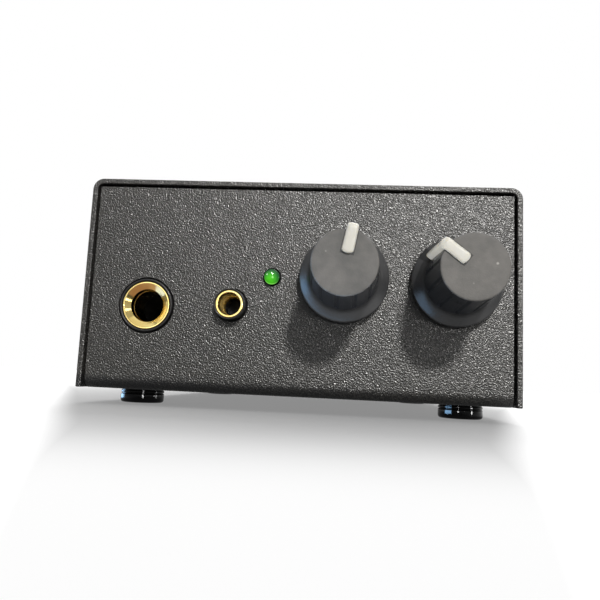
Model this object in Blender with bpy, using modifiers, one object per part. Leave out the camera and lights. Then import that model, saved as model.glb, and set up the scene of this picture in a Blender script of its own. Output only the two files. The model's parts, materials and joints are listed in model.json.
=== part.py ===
"""Desktop headphone amplifier, modelled as an assembly of separate pieces.

Metres, +Z up. The front panel faces -Y, and +X is to the right of someone who looks at it.
The origin lies on the surface that the feet stand on, under the middle of the object's box.
"""

import math

import bmesh
import bpy
from mathutils import Matrix, Vector

MM = 0.001

# Case: a folded tray (front panel, floor, rear panel and side flanges) under a folded cover
CASE_WIDTH = 88.0 * MM
CASE_HEIGHT = 43.1 * MM
CASE_DEPTH = 124.0 * MM
SHEET = 1.1 * MM
COVER_BEND_RADIUS = 2.3 * MM
TRAY_BEND_RADIUS = 2.3 * MM
PANEL_GAP = 0.5 * MM
PANEL_RECESS = 0.5 * MM
FLANGE_HEIGHT = 9.0 * MM
FLANGE_SETBACK = 9.0 * MM
RELIEF_WIDTH = 1.6 * MM

# Clearances
SEAT_GAP = 0.3 * MM
FIT_GAP = 0.2 * MM
SLIP_GAP = 0.15 * MM
PANEL_HOLE_GAP = 0.35 * MM

# Screws: one size of pan head screw for the cover and for the board
SCREW_DIAMETER = 3.0 * MM
SCREW_HEAD_DIAMETER = 5.6 * MM
SCREW_HEAD_HEIGHT = 1.8 * MM
SCREW_CROWN_ANGLE = 72.0
COVER_SCREW_HEIGHT = 5.4 * MM
COVER_SCREW_INSET = 21.0 * MM
COVER_SCREW_REACH = 2.4 * MM

# Feet
FOOT_HEIGHT = 3.5 * MM
FOOT_DIAMETER = 9.5 * MM
FOOT_FLANGE_DIAMETER = 10.3 * MM
FOOT_FLANGE_HEIGHT = 0.3 * MM
FOOT_GROOVES = 2
FOOT_GROOVE_DEPTH = 0.45 * MM
FOOT_GROOVE_PITCH = 0.66 * MM
FOOT_EDGE_RADIUS = 0.75 * MM
FOOT_STEM_DIAMETER = 4.0 * MM
FOOT_BARB_DIAMETER = 5.4 * MM
FOOT_BARB_HEIGHT = 1.6 * MM
FOOT_SIDE_INSET = 8.6 * MM
FOOT_END_INSET = 16.7 * MM

# Row on the front panel, from left to right. The end insets are from the panel's edges, the spacings
# share the width between them, and the heights are up from the tray's underside
PHONE_JACK_INSET = 11.6 * MM
JACK_SPACING = 17.4 * MM
LED_SPACING = 8.0 * MM
LED_TO_KNOB = 14.5 * MM
KNOB_SPACING = 22.0 * MM
KNOB_INSET = 11.3 * MM
PHONE_AXIS_HEIGHT = 16.75 * MM
MINI_AXIS_HEIGHT = 17.45 * MM
LED_AXIS_HEIGHT = 23.45 * MM
KNOB_AXIS_HEIGHT = 23.5 * MM
LEFT_KNOB_TURN = math.radians(11.0)
RIGHT_KNOB_TURN = math.radians(-52.0)

# Phone jack, 6.35 mm
PHONE_NOSE_DIAMETER = 10.8 * MM
PHONE_NOSE_PROUD = 0.5 * MM
PHONE_NOSE_EDGE = 0.4 * MM
PHONE_BODY_WIDTH = 15.6 * MM
PHONE_BODY_DEPTH = 30.0 * MM
PHONE_BODY_RISE = 7.4 * MM
PHONE_AXIS_ABOVE_BOARD = 7.0 * MM
PHONE_BORE = 6.5 * MM
PHONE_MOUTH_LIP = 0.2 * MM
PHONE_MOUTH_DEPTH = 0.55 * MM
PHONE_BUSH_FLANGE_DIAMETER = 9.6 * MM
PHONE_BUSH_FLANGE_HEIGHT = 2.0 * MM
PHONE_BUSH_DIAMETER = 8.0 * MM
PHONE_BUSH_LENGTH = 9.0 * MM
PHONE_CHAMBER_DIAMETER = 7.2 * MM
PHONE_SPRING_WIDTH = 2.8 * MM
PHONE_SPRING_REACH = 2.7 * MM
PHONE_TIP_SPRING_LENGTH = 8.0 * MM
PHONE_RING_SPRING_LENGTH = 12.0 * MM

# Mini jack, 3.5 mm
MINI_NOSE_DIAMETER = 6.2 * MM
MINI_NOSE_PROUD = 2.4 * MM
MINI_NOSE_EDGE = 0.3 * MM
MINI_BODY_WIDTH = 9.0 * MM
MINI_BODY_DEPTH = 15.0 * MM
MINI_BODY_RISE = 4.4 * MM
MINI_BORE = 3.9 * MM
MINI_MOUTH_LIP = 0.45 * MM
MINI_MOUTH_DEPTH = 0.4 * MM
MINI_BUSH_FLANGE_DIAMETER = 5.5 * MM
MINI_BUSH_FLANGE_HEIGHT = 1.0 * MM
MINI_BUSH_DIAMETER = 4.9 * MM
MINI_BUSH_LENGTH = 6.5 * MM
MINI_CHAMBER_DIAMETER = 4.2 * MM
MINI_SLOT_HALF_HEIGHT = 3.4 * MM
MINI_SPRING_WIDTH = 1.8 * MM
MINI_SPRING_REACH = 1.5 * MM
MINI_TIP_SPRING_LENGTH = 4.0 * MM
MINI_RING_SPRING_LENGTH = 6.2 * MM

# Both jacks
JACK_WALL = 1.2 * MM
SPRING_THICKNESS = 0.4 * MM
SPRING_RAMP = 2.6 * MM
SPRING_TAIL = 1.6 * MM

# Power light
LED_DIAMETER = 3.1 * MM
LED_PROUD = 2.0 * MM
LED_FLANGE_DIAMETER = 3.8 * MM
LED_FLANGE_HEIGHT = 1.0 * MM
LED_LEAD_DIAMETER = 0.5 * MM
LED_LEAD_PITCH = 2.54 * MM
LED_LEAD_RUN = 3.0 * MM
LED_LEAD_BEND = 1.5 * MM

# Potentiometers
POT_SHAFT_DIAMETER = 6.0 * MM
POT_SHAFT_LENGTH = 14.0 * MM
POT_SHAFT_FLAT = 1.5 * MM
POT_BUSHING_DIAMETER = 8.0 * MM
POT_BUSHING_PROUD = 3.4 * MM
POT_COLLAR_DIAMETER = 13.0 * MM
POT_COLLAR_HEIGHT = 1.2 * MM
POT_WASHER_DIAMETER = 11.6 * MM
POT_WASHER_THICKNESS = 0.6 * MM
POT_NUT_FLATS = 10.0 * MM
POT_NUT_THICKNESS = 2.0 * MM
POT_CASE_WIDTH = 16.6 * MM
POT_CASE_DEPTH = 8.0 * MM
POT_CASE_RISE = 8.4 * MM
POT_CASE_FRONT = 2.0 * MM
POT_WIPER_DIAMETER = 12.0 * MM
POT_WAFER_THICKNESS = 1.2 * MM
POT_TERMINAL_PITCH = 5.0 * MM
POT_TERMINAL_WIDTH = 1.2 * MM
POT_TERMINAL_THICKNESS = 0.5 * MM

# Knobs
KNOB_STANDOFF = 1.0 * MM
KNOB_HEIGHT = 17.0 * MM
KNOB_FACE_DIAMETER = 12.1 * MM
KNOB_GRIP_DIAMETER = 13.2 * MM
KNOB_SKIRT_DIAMETER = 17.7 * MM
KNOB_SKIRT_HEIGHT = 5.0 * MM
KNOB_RIM_HEIGHT = 1.1 * MM
KNOB_EDGE_RADIUS = 0.25 * MM
KNOB_WALL = 1.1 * MM
KNOB_FLARE_POWER = 1.35
KNOB_GROOVES = 12
KNOB_GROOVE_DEPTH = 0.25 * MM
KNOB_GROOVE_RADIUS = 0.45 * MM

# Pointers let into the knobs
POINTER_WIDTH = 2.2 * MM
POINTER_FOOT_WIDTH = 1.6 * MM
POINTER_PROUD = 0.6 * MM
POINTER_LEG_PROUD = 1.15 * MM
POINTER_SUNK = 0.8 * MM
POINTER_INNER_RADIUS = 1.6 * MM
POINTER_CORNER_RADIUS = 1.0 * MM
POINTER_EDGE_RADIUS = 0.4 * MM
POINTER_END_RADIUS = 0.8 * MM
POINTER_FOOT_GAP = 0.4 * MM

# Phono sockets on the rear panel, in from its right edge as seen from behind
PHONO_INSET = 25.4 * MM
PHONO_PITCH = 14.0 * MM
PHONO_AXIS_HEIGHT = 20.0 * MM
PHONO_BLOCK_WIDTH = 28.0 * MM
PHONO_BLOCK_DEPTH = 10.0 * MM
PHONO_BLOCK_RISE = 6.4 * MM
PHONO_COLLAR_DIAMETER = 10.0 * MM
PHONO_COLLAR_PROUD = 1.0 * MM
PHONO_SHELL_DIAMETER = 8.3 * MM
PHONO_SHELL_WALL = 0.5 * MM
PHONO_SHELL_PROUD = 9.4 * MM
PHONO_SHELL_SUNK = 7.0 * MM
PHONO_INSERT_RECESS = 0.8 * MM
PHONO_BORE = 3.4 * MM
PHONO_BORE_DEPTH = 11.0 * MM

# Supply inlet on the rear panel, in from its left edge as seen from behind
INLET_INSET = 18.4 * MM
INLET_AXIS_HEIGHT = 16.6 * MM
INLET_NOSE_DIAMETER = 8.8 * MM
INLET_NOSE_PROUD = 0.4 * MM
INLET_BODY_WIDTH = 9.8 * MM
INLET_BODY_DEPTH = 13.0 * MM
INLET_BODY_RISE = 5.0 * MM
INLET_BORE = 6.4 * MM
INLET_BORE_DEPTH = 9.6 * MM
INLET_PIN_DIAMETER = 2.0 * MM
INLET_PIN_RECESS = 1.2 * MM

# Circuit board and what carries it
BOARD_THICKNESS = 1.6 * MM
BOARD_END_MARGIN = 2.0 * MM
BOARD_SIDE_MARGIN = 0.8 * MM
BOARD_LEAD_TAIL = 1.2 * MM
STANDOFF_FLATS = 5.5 * MM
STANDOFF_SPIGOT_DIAMETER = 4.0 * MM
STANDOFF_SIDE_INSET = 12.0 * MM
STANDOFF_MARGIN = 6.0 * MM
BOARD_SCREW_LENGTH = 5.0 * MM

# Parts on the board: from its middle, across and towards the rear; the regulator stands beside
# the row of capacitors
CHIP_LENGTH = 9.6 * MM
CHIP_WIDTH = 6.4 * MM
CHIP_HEIGHT = 3.4 * MM
CHIP_LIFT = 0.6 * MM
CHIP_LEG_PITCH = 2.54 * MM
CHIP_LEG_WIDTH = 1.1 * MM
CHIP_LEG_THICKNESS = 0.6 * MM
CHIP_SPREAD = 11.0 * MM
CHIP_Y = 0.0 * MM
CAPACITOR_DIAMETER = 10.0 * MM
CAPACITOR_HEIGHT = 16.0 * MM
CAPACITOR_EDGE = 0.7 * MM
CAPACITOR_PITCH = 14.0 * MM
CAPACITOR_Y = 17.0 * MM
REGULATOR_GAP = 0.9 * MM
REGULATOR_Y = 12.0 * MM
REGULATOR_WIDTH = 10.2 * MM
REGULATOR_BODY_HEIGHT = 9.0 * MM
REGULATOR_BODY_DEPTH = 4.4 * MM
REGULATOR_TAB_HEIGHT = 6.4 * MM
REGULATOR_TAB_THICKNESS = 1.3 * MM
REGULATOR_TAB_HOLE = 3.6 * MM
REGULATOR_LIFT = 4.0 * MM
REGULATOR_LEG_PITCH = 2.54 * MM
REGULATOR_LEG_WIDTH = 0.9 * MM

# Fineness of the round forms
KNOB_STEPS = 36
ROUND_STEPS = 20
FOOT_STEPS = 18
SMALL_STEPS = 12
PIN_STEPS = 8
BEND_SEGMENTS = 4
EDGE_SEGMENTS = 3
FLARE_SEGMENTS = 4
WELD = 0.00001

# Worked out from the sizes above
FRONT_REACH = KNOB_STANDOFF + KNOB_HEIGHT + POINTER_PROUD
PANEL_SPACING = CASE_DEPTH - 2 * PANEL_RECESS
PANEL_Y = (FRONT_REACH - PANEL_SPACING - PHONO_SHELL_PROUD) / 2
REAR_Y = PANEL_Y + PANEL_SPACING
MIDDLE_Y = (PANEL_Y + REAR_Y) / 2
PANEL_HALF_WIDTH = CASE_WIDTH / 2 - SHEET - PANEL_GAP
PANEL_TOP = CASE_HEIGHT - SHEET - PANEL_GAP
ROW_SPACINGS = JACK_SPACING + LED_SPACING + LED_TO_KNOB + KNOB_SPACING
ROW_SPREAD = (2 * PANEL_HALF_WIDTH - PHONE_JACK_INSET - KNOB_INSET) / ROW_SPACINGS
PHONE_JACK_X = PHONE_JACK_INSET - PANEL_HALF_WIDTH
MINI_JACK_X = PHONE_JACK_X + JACK_SPACING * ROW_SPREAD
LED_X = MINI_JACK_X + LED_SPACING * ROW_SPREAD
LEFT_KNOB_X = LED_X + LED_TO_KNOB * ROW_SPREAD
RIGHT_KNOB_X = PANEL_HALF_WIDTH - KNOB_INSET
PHONO_MIDDLE_X = PANEL_HALF_WIDTH - PHONO_INSET
INLET_X = INLET_INSET - PANEL_HALF_WIDTH
BOARD_TOP = PHONE_AXIS_HEIGHT - PHONE_AXIS_ABOVE_BOARD
BOARD_BOTTOM = BOARD_TOP - BOARD_THICKNESS
BOARD_HALF_WIDTH = PANEL_HALF_WIDTH - SHEET - COVER_SCREW_REACH - BOARD_SIDE_MARGIN
BOARD_HALF_LENGTH = PANEL_SPACING / 2 - SHEET - BOARD_END_MARGIN
BEHIND_PANEL = -SHEET - SEAT_GAP
POT_FRONT = BEHIND_PANEL - POT_COLLAR_HEIGHT - SEAT_GAP
POT_REAR = POT_FRONT - POT_CASE_DEPTH
POT_TERMINAL_Z = POT_REAR - SEAT_GAP - POT_WAFER_THICKNESS / 2
KNOB_TOP = KNOB_STANDOFF + KNOB_HEIGHT
KNOB_CEILING = POT_BUSHING_PROUD + 2 * SEAT_GAP
KNOB_FLARE_TOP = KNOB_STANDOFF + KNOB_SKIRT_HEIGHT
KNOB_FLARE_FOOT = KNOB_STANDOFF + KNOB_RIM_HEIGHT
LED_BASE = BEHIND_PANEL - LED_FLANGE_HEIGHT
LED_LEAD_DROP = LED_BASE - FIT_GAP - LED_LEAD_RUN - LED_LEAD_BEND
REGULATOR_X = CAPACITOR_PITCH + (CAPACITOR_DIAMETER + REGULATOR_WIDTH) / 2 + REGULATOR_GAP

LOOKS = {}


def clear_scene():
    for obj in list(bpy.data.objects):
        bpy.data.objects.remove(obj, do_unlink=True)


def new_collection(name):
    collection = bpy.data.collections.new(name)
    bpy.context.scene.collection.children.link(collection)
    return collection


def look(name, colour, roughness, metallic=0.0):
    """A Principled material, made once for each name."""
    if name not in LOOKS:
        material = bpy.data.materials.new(name)
        material.use_nodes = True
        shader = material.node_tree.nodes["Principled BSDF"]
        shader.inputs["Base Color"].default_value = (*colour, 1.0)
        shader.inputs["Roughness"].default_value = roughness
        shader.inputs["Metallic"].default_value = metallic
        LOOKS[name] = material
    return LOOKS[name]


def powder_coat():
    return look("black_powder_coat", (0.035, 0.035, 0.037), 0.55, 0.2)


def black_plastic():
    return look("black_plastic", (0.03, 0.03, 0.032), 0.4)


def brass():
    return look("brass", (0.72, 0.5, 0.2), 0.25, 1.0)


def bright_steel():
    return look("bright_steel", (0.62, 0.62, 0.64), 0.3, 1.0)


def add_object(name, mesh, material, parent, location=(0, 0, 0)):
    obj = bpy.data.objects.new(name, mesh)
    if material:
        mesh.materials.append(material)
    obj.parent = parent
    obj.location = location
    PARTS.objects.link(obj)
    return obj


def frame(name, location, turn=0.0, upright=True, parent=None):
    """An empty: upright ones have X to the right, Y up and Z out of the face they are on."""
    empty = bpy.data.objects.new(name, None)
    empty.parent = parent
    empty.location = location
    empty.rotation_euler = (math.pi / 2 if upright else 0.0, 0.0, turn)
    empty.empty_display_size = 10 * MM
    PARTS.objects.link(empty)
    return empty


def mesh_from(bm, name):
    mesh = bpy.data.meshes.new(name)
    bm.to_mesh(mesh)
    bm.free()
    mesh.shade_smooth()
    mesh.set_sharp_from_angle(angle=math.radians(35))
    return mesh


def turned(name, profile, material, parent, location=(0, 0, 0), steps=ROUND_STEPS):
    """A profile of (radius, height) turned about Z; it closes on the axis or on itself."""
    edges = [(i, i + 1) for i in range(len(profile) - 1)]
    if profile[0][0] > 0:
        edges.append((len(profile) - 1, 0))
    mesh = bpy.data.meshes.new(name)
    mesh.from_pydata([(radius, 0, height) for radius, height in profile], edges, [])
    obj = add_object(name, mesh, material, parent, location)
    screw = obj.modifiers.new("Turn", "SCREW")
    screw.steps = steps
    screw.render_steps = steps
    screw.use_merge_vertices = True
    screw.merge_threshold = WELD
    return obj


def block(name, low, high, material, parent):
    """A box from its low corner to its high one."""
    low = Vector(low)
    high = Vector(high)
    bm = bmesh.new()
    bmesh.ops.create_cube(bm, size=1.0)
    bmesh.ops.scale(bm, vec=high - low, verts=bm.verts)
    return add_object(name, mesh_from(bm, name), material, parent, (low + high) / 2)


def blocks(name, corners, parent):
    """Several boxes in one mesh, each from a low corner to a high one."""
    bm = bmesh.new()
    for low, high in corners:
        size = Vector(high) - Vector(low)
        middle = (Vector(high) + Vector(low)) / 2
        bmesh.ops.create_cube(bm, size=1.0, matrix=Matrix.LocRotScale(middle, None, size))
    return add_object(name, mesh_from(bm, name), None, parent)


def bars(name, places, low, high, parent, steps=ROUND_STEPS):
    """Round bars along Z from low to high, one for each (x, y, diameter)."""
    bm = bmesh.new()
    for x, y, diameter in places:
        bmesh.ops.create_cone(
            bm, cap_ends=True, segments=steps, radius1=diameter / 2, radius2=diameter / 2,
            depth=high - low, matrix=Matrix.Translation((x, y, (low + high) / 2)),
        )
    return add_object(name, mesh_from(bm, name), None, parent)


def prism(name, outline, axis, low, high, material, parent):
    """An outline of points, drawn out along one axis from low to high."""
    bm = bmesh.new()
    across = Vector((axis == "X", axis == "Y", axis == "Z"))
    bottom = bm.faces.new([bm.verts.new(Vector(point) + across * low) for point in outline])
    drawn = bmesh.ops.extrude_face_region(bm, geom=[bottom])
    moved = [item for item in drawn["geom"] if isinstance(item, bmesh.types.BMVert)]
    bmesh.ops.translate(bm, vec=across * (high - low), verts=moved)
    bmesh.ops.recalc_face_normals(bm, faces=bm.faces)
    return add_object(name, mesh_from(bm, name), material, parent)


def leaf(name, path, width, material, parent):
    """A strip of spring metal along a path of (y, z), as wide as asked along X."""
    bm = bmesh.new()
    verts = [bm.verts.new((-width / 2, y, z)) for y, z in path]
    edges = [bm.edges.new(pair) for pair in zip(verts, verts[1:])]
    drawn = bmesh.ops.extrude_edge_only(bm, edges=edges)
    moved = [item for item in drawn["geom"] if isinstance(item, bmesh.types.BMVert)]
    bmesh.ops.translate(bm, vec=(width, 0, 0), verts=moved)
    obj = add_object(name, mesh_from(bm, name), material, parent)
    thicken(obj, SPRING_THICKNESS, 0.0)
    return obj


def wire(name, points, diameter, material, parent):
    """A round wire along points."""
    curve = bpy.data.curves.new(name, "CURVE")
    curve.dimensions = "3D"
    curve.bevel_depth = diameter / 2
    curve.bevel_resolution = 1
    curve.use_fill_caps = True
    spline = curve.splines.new("POLY")
    spline.points.add(len(points) - 1)
    for point, place in zip(spline.points, points):
        point.co = (*place, 1.0)
    return add_object(name, curve, material, parent)


def arc(middle, radius, start, end, count):
    """Points (a, b) along an arc between two angles in degrees."""
    angles = [math.radians(start + (end - start) * i / count) for i in range(count + 1)]
    return [(middle[0] + radius * math.cos(a), middle[1] + radius * math.sin(a)) for a in angles]


def thicken(obj, thickness, offset=-1.0):
    solidify = obj.modifiers.new("Sheet", "SOLIDIFY")
    solidify.thickness = thickness
    solidify.offset = offset
    solidify.use_even_offset = True


def round_edges(obj, width, segments=2):
    bevel = obj.modifiers.new("Round", "BEVEL")
    bevel.width = width
    bevel.segments = segments
    bevel.limit_method = "ANGLE"
    bevel.angle_limit = math.radians(40)


def combine(target, other, operation):
    """Join another object to a target, or cut it out, and keep it as a hidden helper."""
    modifier = target.modifiers.new(other.name, "BOOLEAN")
    modifier.operation = operation
    modifier.object = other
    other.hide_render = True
    other.display_type = "WIRE"
    PARTS.objects.unlink(other)
    CUTTERS.objects.link(other)


def cut(target, *others):
    for other in others:
        combine(target, other, "DIFFERENCE")


def join(target, *others):
    for other in others:
        combine(target, other, "UNION")


def folded(name, outline, height, fold_pairs, bend_radius, material, parent):
    """Half of a folded sheet, mirrored across X: a flat outline with some edges drawn up or down."""
    bm = bmesh.new()
    verts = [bm.verts.new((x, y, 0)) for x, y in outline]
    flat = bm.faces.new(verts)
    flat.normal_update()
    folds = [(bm.edges.get((verts[i], verts[i + 1])), rise) for i, rise in fold_pairs]
    for edge, rise in folds:
        drawn = bmesh.ops.extrude_edge_only(bm, edges=[edge])
        moved = [item for item in drawn["geom"] if isinstance(item, bmesh.types.BMVert)]
        bmesh.ops.translate(bm, vec=(0, 0, rise), verts=moved)
    bmesh.ops.recalc_face_normals(bm, faces=bm.faces)
    outward = -1 if folds[0][1] > 0 else 1
    if flat.normal.z * outward < 0:
        bmesh.ops.reverse_faces(bm, faces=bm.faces)
    obj = add_object(name, mesh_from(bm, name), material, parent, (0, 0, height))
    mirror = obj.modifiers.new("Other half", "MIRROR")
    mirror.merge_threshold = WELD
    round_edges(obj, bend_radius, BEND_SEGMENTS)
    thicken(obj, SHEET)
    return obj


def chassis_tray(frames):
    """Front panel, floor and rear panel in one sheet, with a flange along each side of the floor."""
    near = -PANEL_SPACING / 2
    far = PANEL_SPACING / 2
    side = PANEL_HALF_WIDTH
    notch = side - TRAY_BEND_RADIUS - SHEET
    flange_near = near + FLANGE_SETBACK
    flange_far = far - FLANGE_SETBACK
    outline = [
        (0, near), (side, near),
        (side, flange_near - RELIEF_WIDTH), (notch, flange_near - RELIEF_WIDTH),
        (notch, flange_near), (side, flange_near),
        (side, flange_far), (notch, flange_far),
        (notch, flange_far + RELIEF_WIDTH), (side, flange_far + RELIEF_WIDTH),
        (side, far), (0, far),
    ]
    folds = [(0, PANEL_TOP), (5, FLANGE_HEIGHT), (10, PANEL_TOP)]
    tray = folded("chassis_tray", outline, 0.0, folds, TRAY_BEND_RADIUS, powder_coat(), frames["floor"])
    front_holes = [
        (PHONE_JACK_X, PHONE_AXIS_HEIGHT, PHONE_NOSE_DIAMETER + 2 * PANEL_HOLE_GAP),
        (MINI_JACK_X, MINI_AXIS_HEIGHT, MINI_NOSE_DIAMETER + 2 * PANEL_HOLE_GAP),
        (LED_X, LED_AXIS_HEIGHT, LED_DIAMETER + 2 * FIT_GAP),
        (LEFT_KNOB_X, KNOB_AXIS_HEIGHT, POT_BUSHING_DIAMETER + 2 * FIT_GAP),
        (RIGHT_KNOB_X, KNOB_AXIS_HEIGHT, POT_BUSHING_DIAMETER + 2 * FIT_GAP),
    ]
    rear_holes = [
        (PHONO_MIDDLE_X + side_sign * PHONO_PITCH / 2, PHONO_AXIS_HEIGHT,
         PHONO_COLLAR_DIAMETER + 2 * PANEL_HOLE_GAP)
        for side_sign in (-1, 1)
    ]
    rear_holes.append((INLET_X, INLET_AXIS_HEIGHT, INLET_NOSE_DIAMETER + 2 * PANEL_HOLE_GAP))
    floor_holes = [(x, y, FOOT_STEM_DIAMETER + 2 * FIT_GAP) for x, y in foot_places()]
    floor_holes += [(x, y, STANDOFF_SPIGOT_DIAMETER + 2 * FIT_GAP) for x, y in standoff_places()]
    screw_holes = [(x, COVER_SCREW_HEIGHT, SCREW_DIAMETER + 2 * FIT_GAP) for x in cover_screw_places()]
    flange_face = PANEL_HALF_WIDTH - CASE_WIDTH / 2
    cut(
        tray,
        bars("cut_front_holes", front_holes, -2 * SHEET, SHEET, frames["front"]),
        bars("cut_rear_holes", rear_holes, -2 * SHEET, SHEET, frames["rear"]),
        bars("cut_floor_holes", floor_holes, -SHEET, 2 * SHEET, frames["floor"], SMALL_STEPS),
        bars("cut_left_flange", screw_holes, flange_face - 2 * SHEET, flange_face + SHEET,
             frames["left"], SMALL_STEPS),
        bars("cut_right_flange", screw_holes, flange_face - 2 * SHEET, flange_face + SHEET,
             frames["right"], SMALL_STEPS),
    )


def top_cover(frames):
    """Top and both sides in one folded sheet."""
    side = CASE_WIDTH / 2
    outline = [(0, -CASE_DEPTH / 2), (side, -CASE_DEPTH / 2), (side, CASE_DEPTH / 2), (0, CASE_DEPTH / 2)]
    cover = folded("top_cover", outline, CASE_HEIGHT, [(1, -CASE_HEIGHT)], COVER_BEND_RADIUS,
                   powder_coat(), frames["floor"])
    holes = [(x, COVER_SCREW_HEIGHT, SCREW_DIAMETER + 2 * FIT_GAP) for x in cover_screw_places()]
    for side_name in ("left", "right"):
        cut(cover, bars("cut_cover_" + side_name, holes, -2 * SHEET, SHEET, frames[side_name], SMALL_STEPS))


def cover_screw_places():
    return [-(CASE_DEPTH / 2 - COVER_SCREW_INSET), CASE_DEPTH / 2 - COVER_SCREW_INSET]


def pan_head_screw(name, length, parent, location):
    """A screw along Z with the underside of its head at its own origin."""
    head = SCREW_HEAD_DIAMETER / 2
    shank = SCREW_DIAMETER / 2
    crown = arc((0, 0), 1.0, 90, 90 - SCREW_CROWN_ANGLE, EDGE_SEGMENTS)
    profile = [(head * a, SCREW_HEAD_HEIGHT * b) for a, b in crown]
    profile[0] = (0, SCREW_HEAD_HEIGHT)
    profile += [(head, 0), (shank, 0), (shank, -length), (0, -length)]
    turned(name, profile, bright_steel(), parent, location, SMALL_STEPS)


def cover_screws(frames):
    length = CASE_WIDTH / 2 - PANEL_HALF_WIDTH + SHEET + COVER_SCREW_REACH + SLIP_GAP
    for side_name, order in (("left", ("rear", "front")), ("right", ("front", "rear"))):
        for x, end in zip(cover_screw_places(), order):
            name = "cover_screw_%s_%s" % (end, side_name)
            pan_head_screw(name, length, frames[side_name], (x, COVER_SCREW_HEIGHT, SLIP_GAP))


def foot_places():
    x = CASE_WIDTH / 2 - FOOT_SIDE_INSET
    y = CASE_DEPTH / 2 - FOOT_END_INSET
    return [(-x, -y), (x, -y), (-x, y), (x, y)]


def rubber_feet(frames):
    """Push-in feet: a round pad with grooves under its lip, and a barbed stem through the floor."""
    body = FOOT_DIAMETER / 2
    flange = FOOT_FLANGE_DIAMETER / 2
    stem = FOOT_STEM_DIAMETER / 2
    flange_top = -SEAT_GAP
    flange_foot = flange_top - FOOT_FLANGE_HEIGHT
    barb_foot = SHEET + SEAT_GAP
    barb_top = barb_foot + FOOT_BARB_HEIGHT
    edge = FOOT_EDGE_RADIUS
    profile = [(0, barb_top), (stem - FIT_GAP, barb_top), (FOOT_BARB_DIAMETER / 2, barb_foot)]
    profile += [(stem, barb_foot), (stem, flange_top), (flange, flange_top), (flange, flange_foot)]
    for i in range(FOOT_GROOVES):
        groove = flange_foot - FOOT_GROOVE_PITCH * (i + 0.25)
        profile += [(body - FOOT_GROOVE_DEPTH, groove), (body, groove - FOOT_GROOVE_PITCH / 2)]
    profile += arc((body - edge, edge - FOOT_HEIGHT), edge, 0, -90, EDGE_SEGMENTS)
    profile.append((0, -FOOT_HEIGHT))
    rubber = look("black_rubber", (0.02, 0.02, 0.022), 0.45)
    names = ("front_left", "front_right", "rear_left", "rear_right")
    for name, (x, y) in zip(names, foot_places()):
        turned("foot_" + name, profile, rubber, frames["floor"], (x, y, 0), FOOT_STEPS)


def standoff_places():
    """Two rows, clear of the deepest bodies that stand behind the front and rear panels."""
    x = BOARD_HALF_WIDTH - STANDOFF_SIDE_INSET
    reach = PANEL_SPACING / 2 + BEHIND_PANEL - STANDOFF_MARGIN
    front_row = PHONE_BODY_DEPTH - reach
    rear_row = reach - max(INLET_BODY_DEPTH, PHONO_BLOCK_DEPTH)
    return [(side * x, y) for y in (front_row, rear_row) for side in (-1, 1)]


def standoffs(frames):
    """Hexagonal spacers pressed into the floor, each with a screw through the board."""
    hexagon = STANDOFF_FLATS / math.cos(math.pi / 6)
    top = BOARD_BOTTOM - FIT_GAP
    hole = SCREW_DIAMETER + 2 * FIT_GAP
    names = ("front_left", "front_right", "rear_left", "rear_right")
    for name, (x, y) in zip(names, standoff_places()):
        seat = frame("standoff_place_" + name, (x, y, 0), upright=False, parent=frames["floor"])
        body = bars("standoff_" + name, [(0, 0, hexagon)], SHEET + FIT_GAP, top, seat, 6)
        body.data.materials.append(bright_steel())
        spigot = bars("join_spigot_" + name, [(0, 0, STANDOFF_SPIGOT_DIAMETER)], SLIP_GAP,
                      2 * SHEET, seat, SMALL_STEPS)
        join(body, spigot)
        bottom = top - BOARD_SCREW_LENGTH
        cut(body, bars("cut_standoff_" + name, [(0, 0, hole)], bottom, top + SHEET, seat, SMALL_STEPS))
        length = BOARD_THICKNESS + BOARD_SCREW_LENGTH - SEAT_GAP
        pan_head_screw("board_screw_" + name, length, seat, (0, 0, BOARD_TOP + SLIP_GAP))


def circuit_board(frames):
    green = look("board_green", (0.02, 0.1, 0.05), 0.5)
    board = block("circuit_board", (-BOARD_HALF_WIDTH, -BOARD_HALF_LENGTH, -BOARD_THICKNESS),
                  (BOARD_HALF_WIDTH, BOARD_HALF_LENGTH, 0), green, frames["board"])
    screws = [(x, y, SCREW_DIAMETER + 2 * FIT_GAP) for x, y in standoff_places()]
    panel = -PANEL_SPACING / 2
    pins = [
        (knob_x + step * POT_TERMINAL_PITCH, panel - POT_TERMINAL_Z, POT_TERMINAL_WIDTH + 4 * FIT_GAP)
        for knob_x in (LEFT_KNOB_X, RIGHT_KNOB_X) for step in (-1, 0, 1)
    ]
    pins += [
        (LED_X + side * LED_LEAD_PITCH / 2, panel - LED_LEAD_DROP, LED_LEAD_DIAMETER + 2 * FIT_GAP)
        for side in (-1, 1)
    ]
    cut(
        board,
        bars("cut_board_screws", screws, -2 * BOARD_THICKNESS, BOARD_THICKNESS, frames["board"],
             SMALL_STEPS),
        bars("cut_board_pins", pins, -2 * BOARD_THICKNESS, BOARD_THICKNESS, frames["board"], PIN_STEPS),
    )


def nose(name, diameter, edge, proud, root, parent):
    """A round nose with a rounded front edge, from its front back into the body behind it."""
    radius = diameter / 2
    profile = [(0, proud)] + arc((radius - edge, proud - edge), edge, 90, 0, EDGE_SEGMENTS)
    profile += [(radius, root), (0, root)]
    return turned(name, profile, None, parent)


def jack_bush(name, front, flange, flange_height, barrel, length, lip, mouth_depth, bore, parent):
    """A turned bush: a flange with a conical mouth inside its lip, and a barrel behind it."""
    rear = front - length
    mouth = flange - 2 * lip
    profile = [
        (flange / 2, front), (flange / 2, front - flange_height), (barrel / 2, front - flange_height),
        (barrel / 2, rear), (bore / 2, rear), (bore / 2, front - mouth_depth), (mouth / 2, front),
    ]
    turned(name, profile, brass(), parent)


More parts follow.
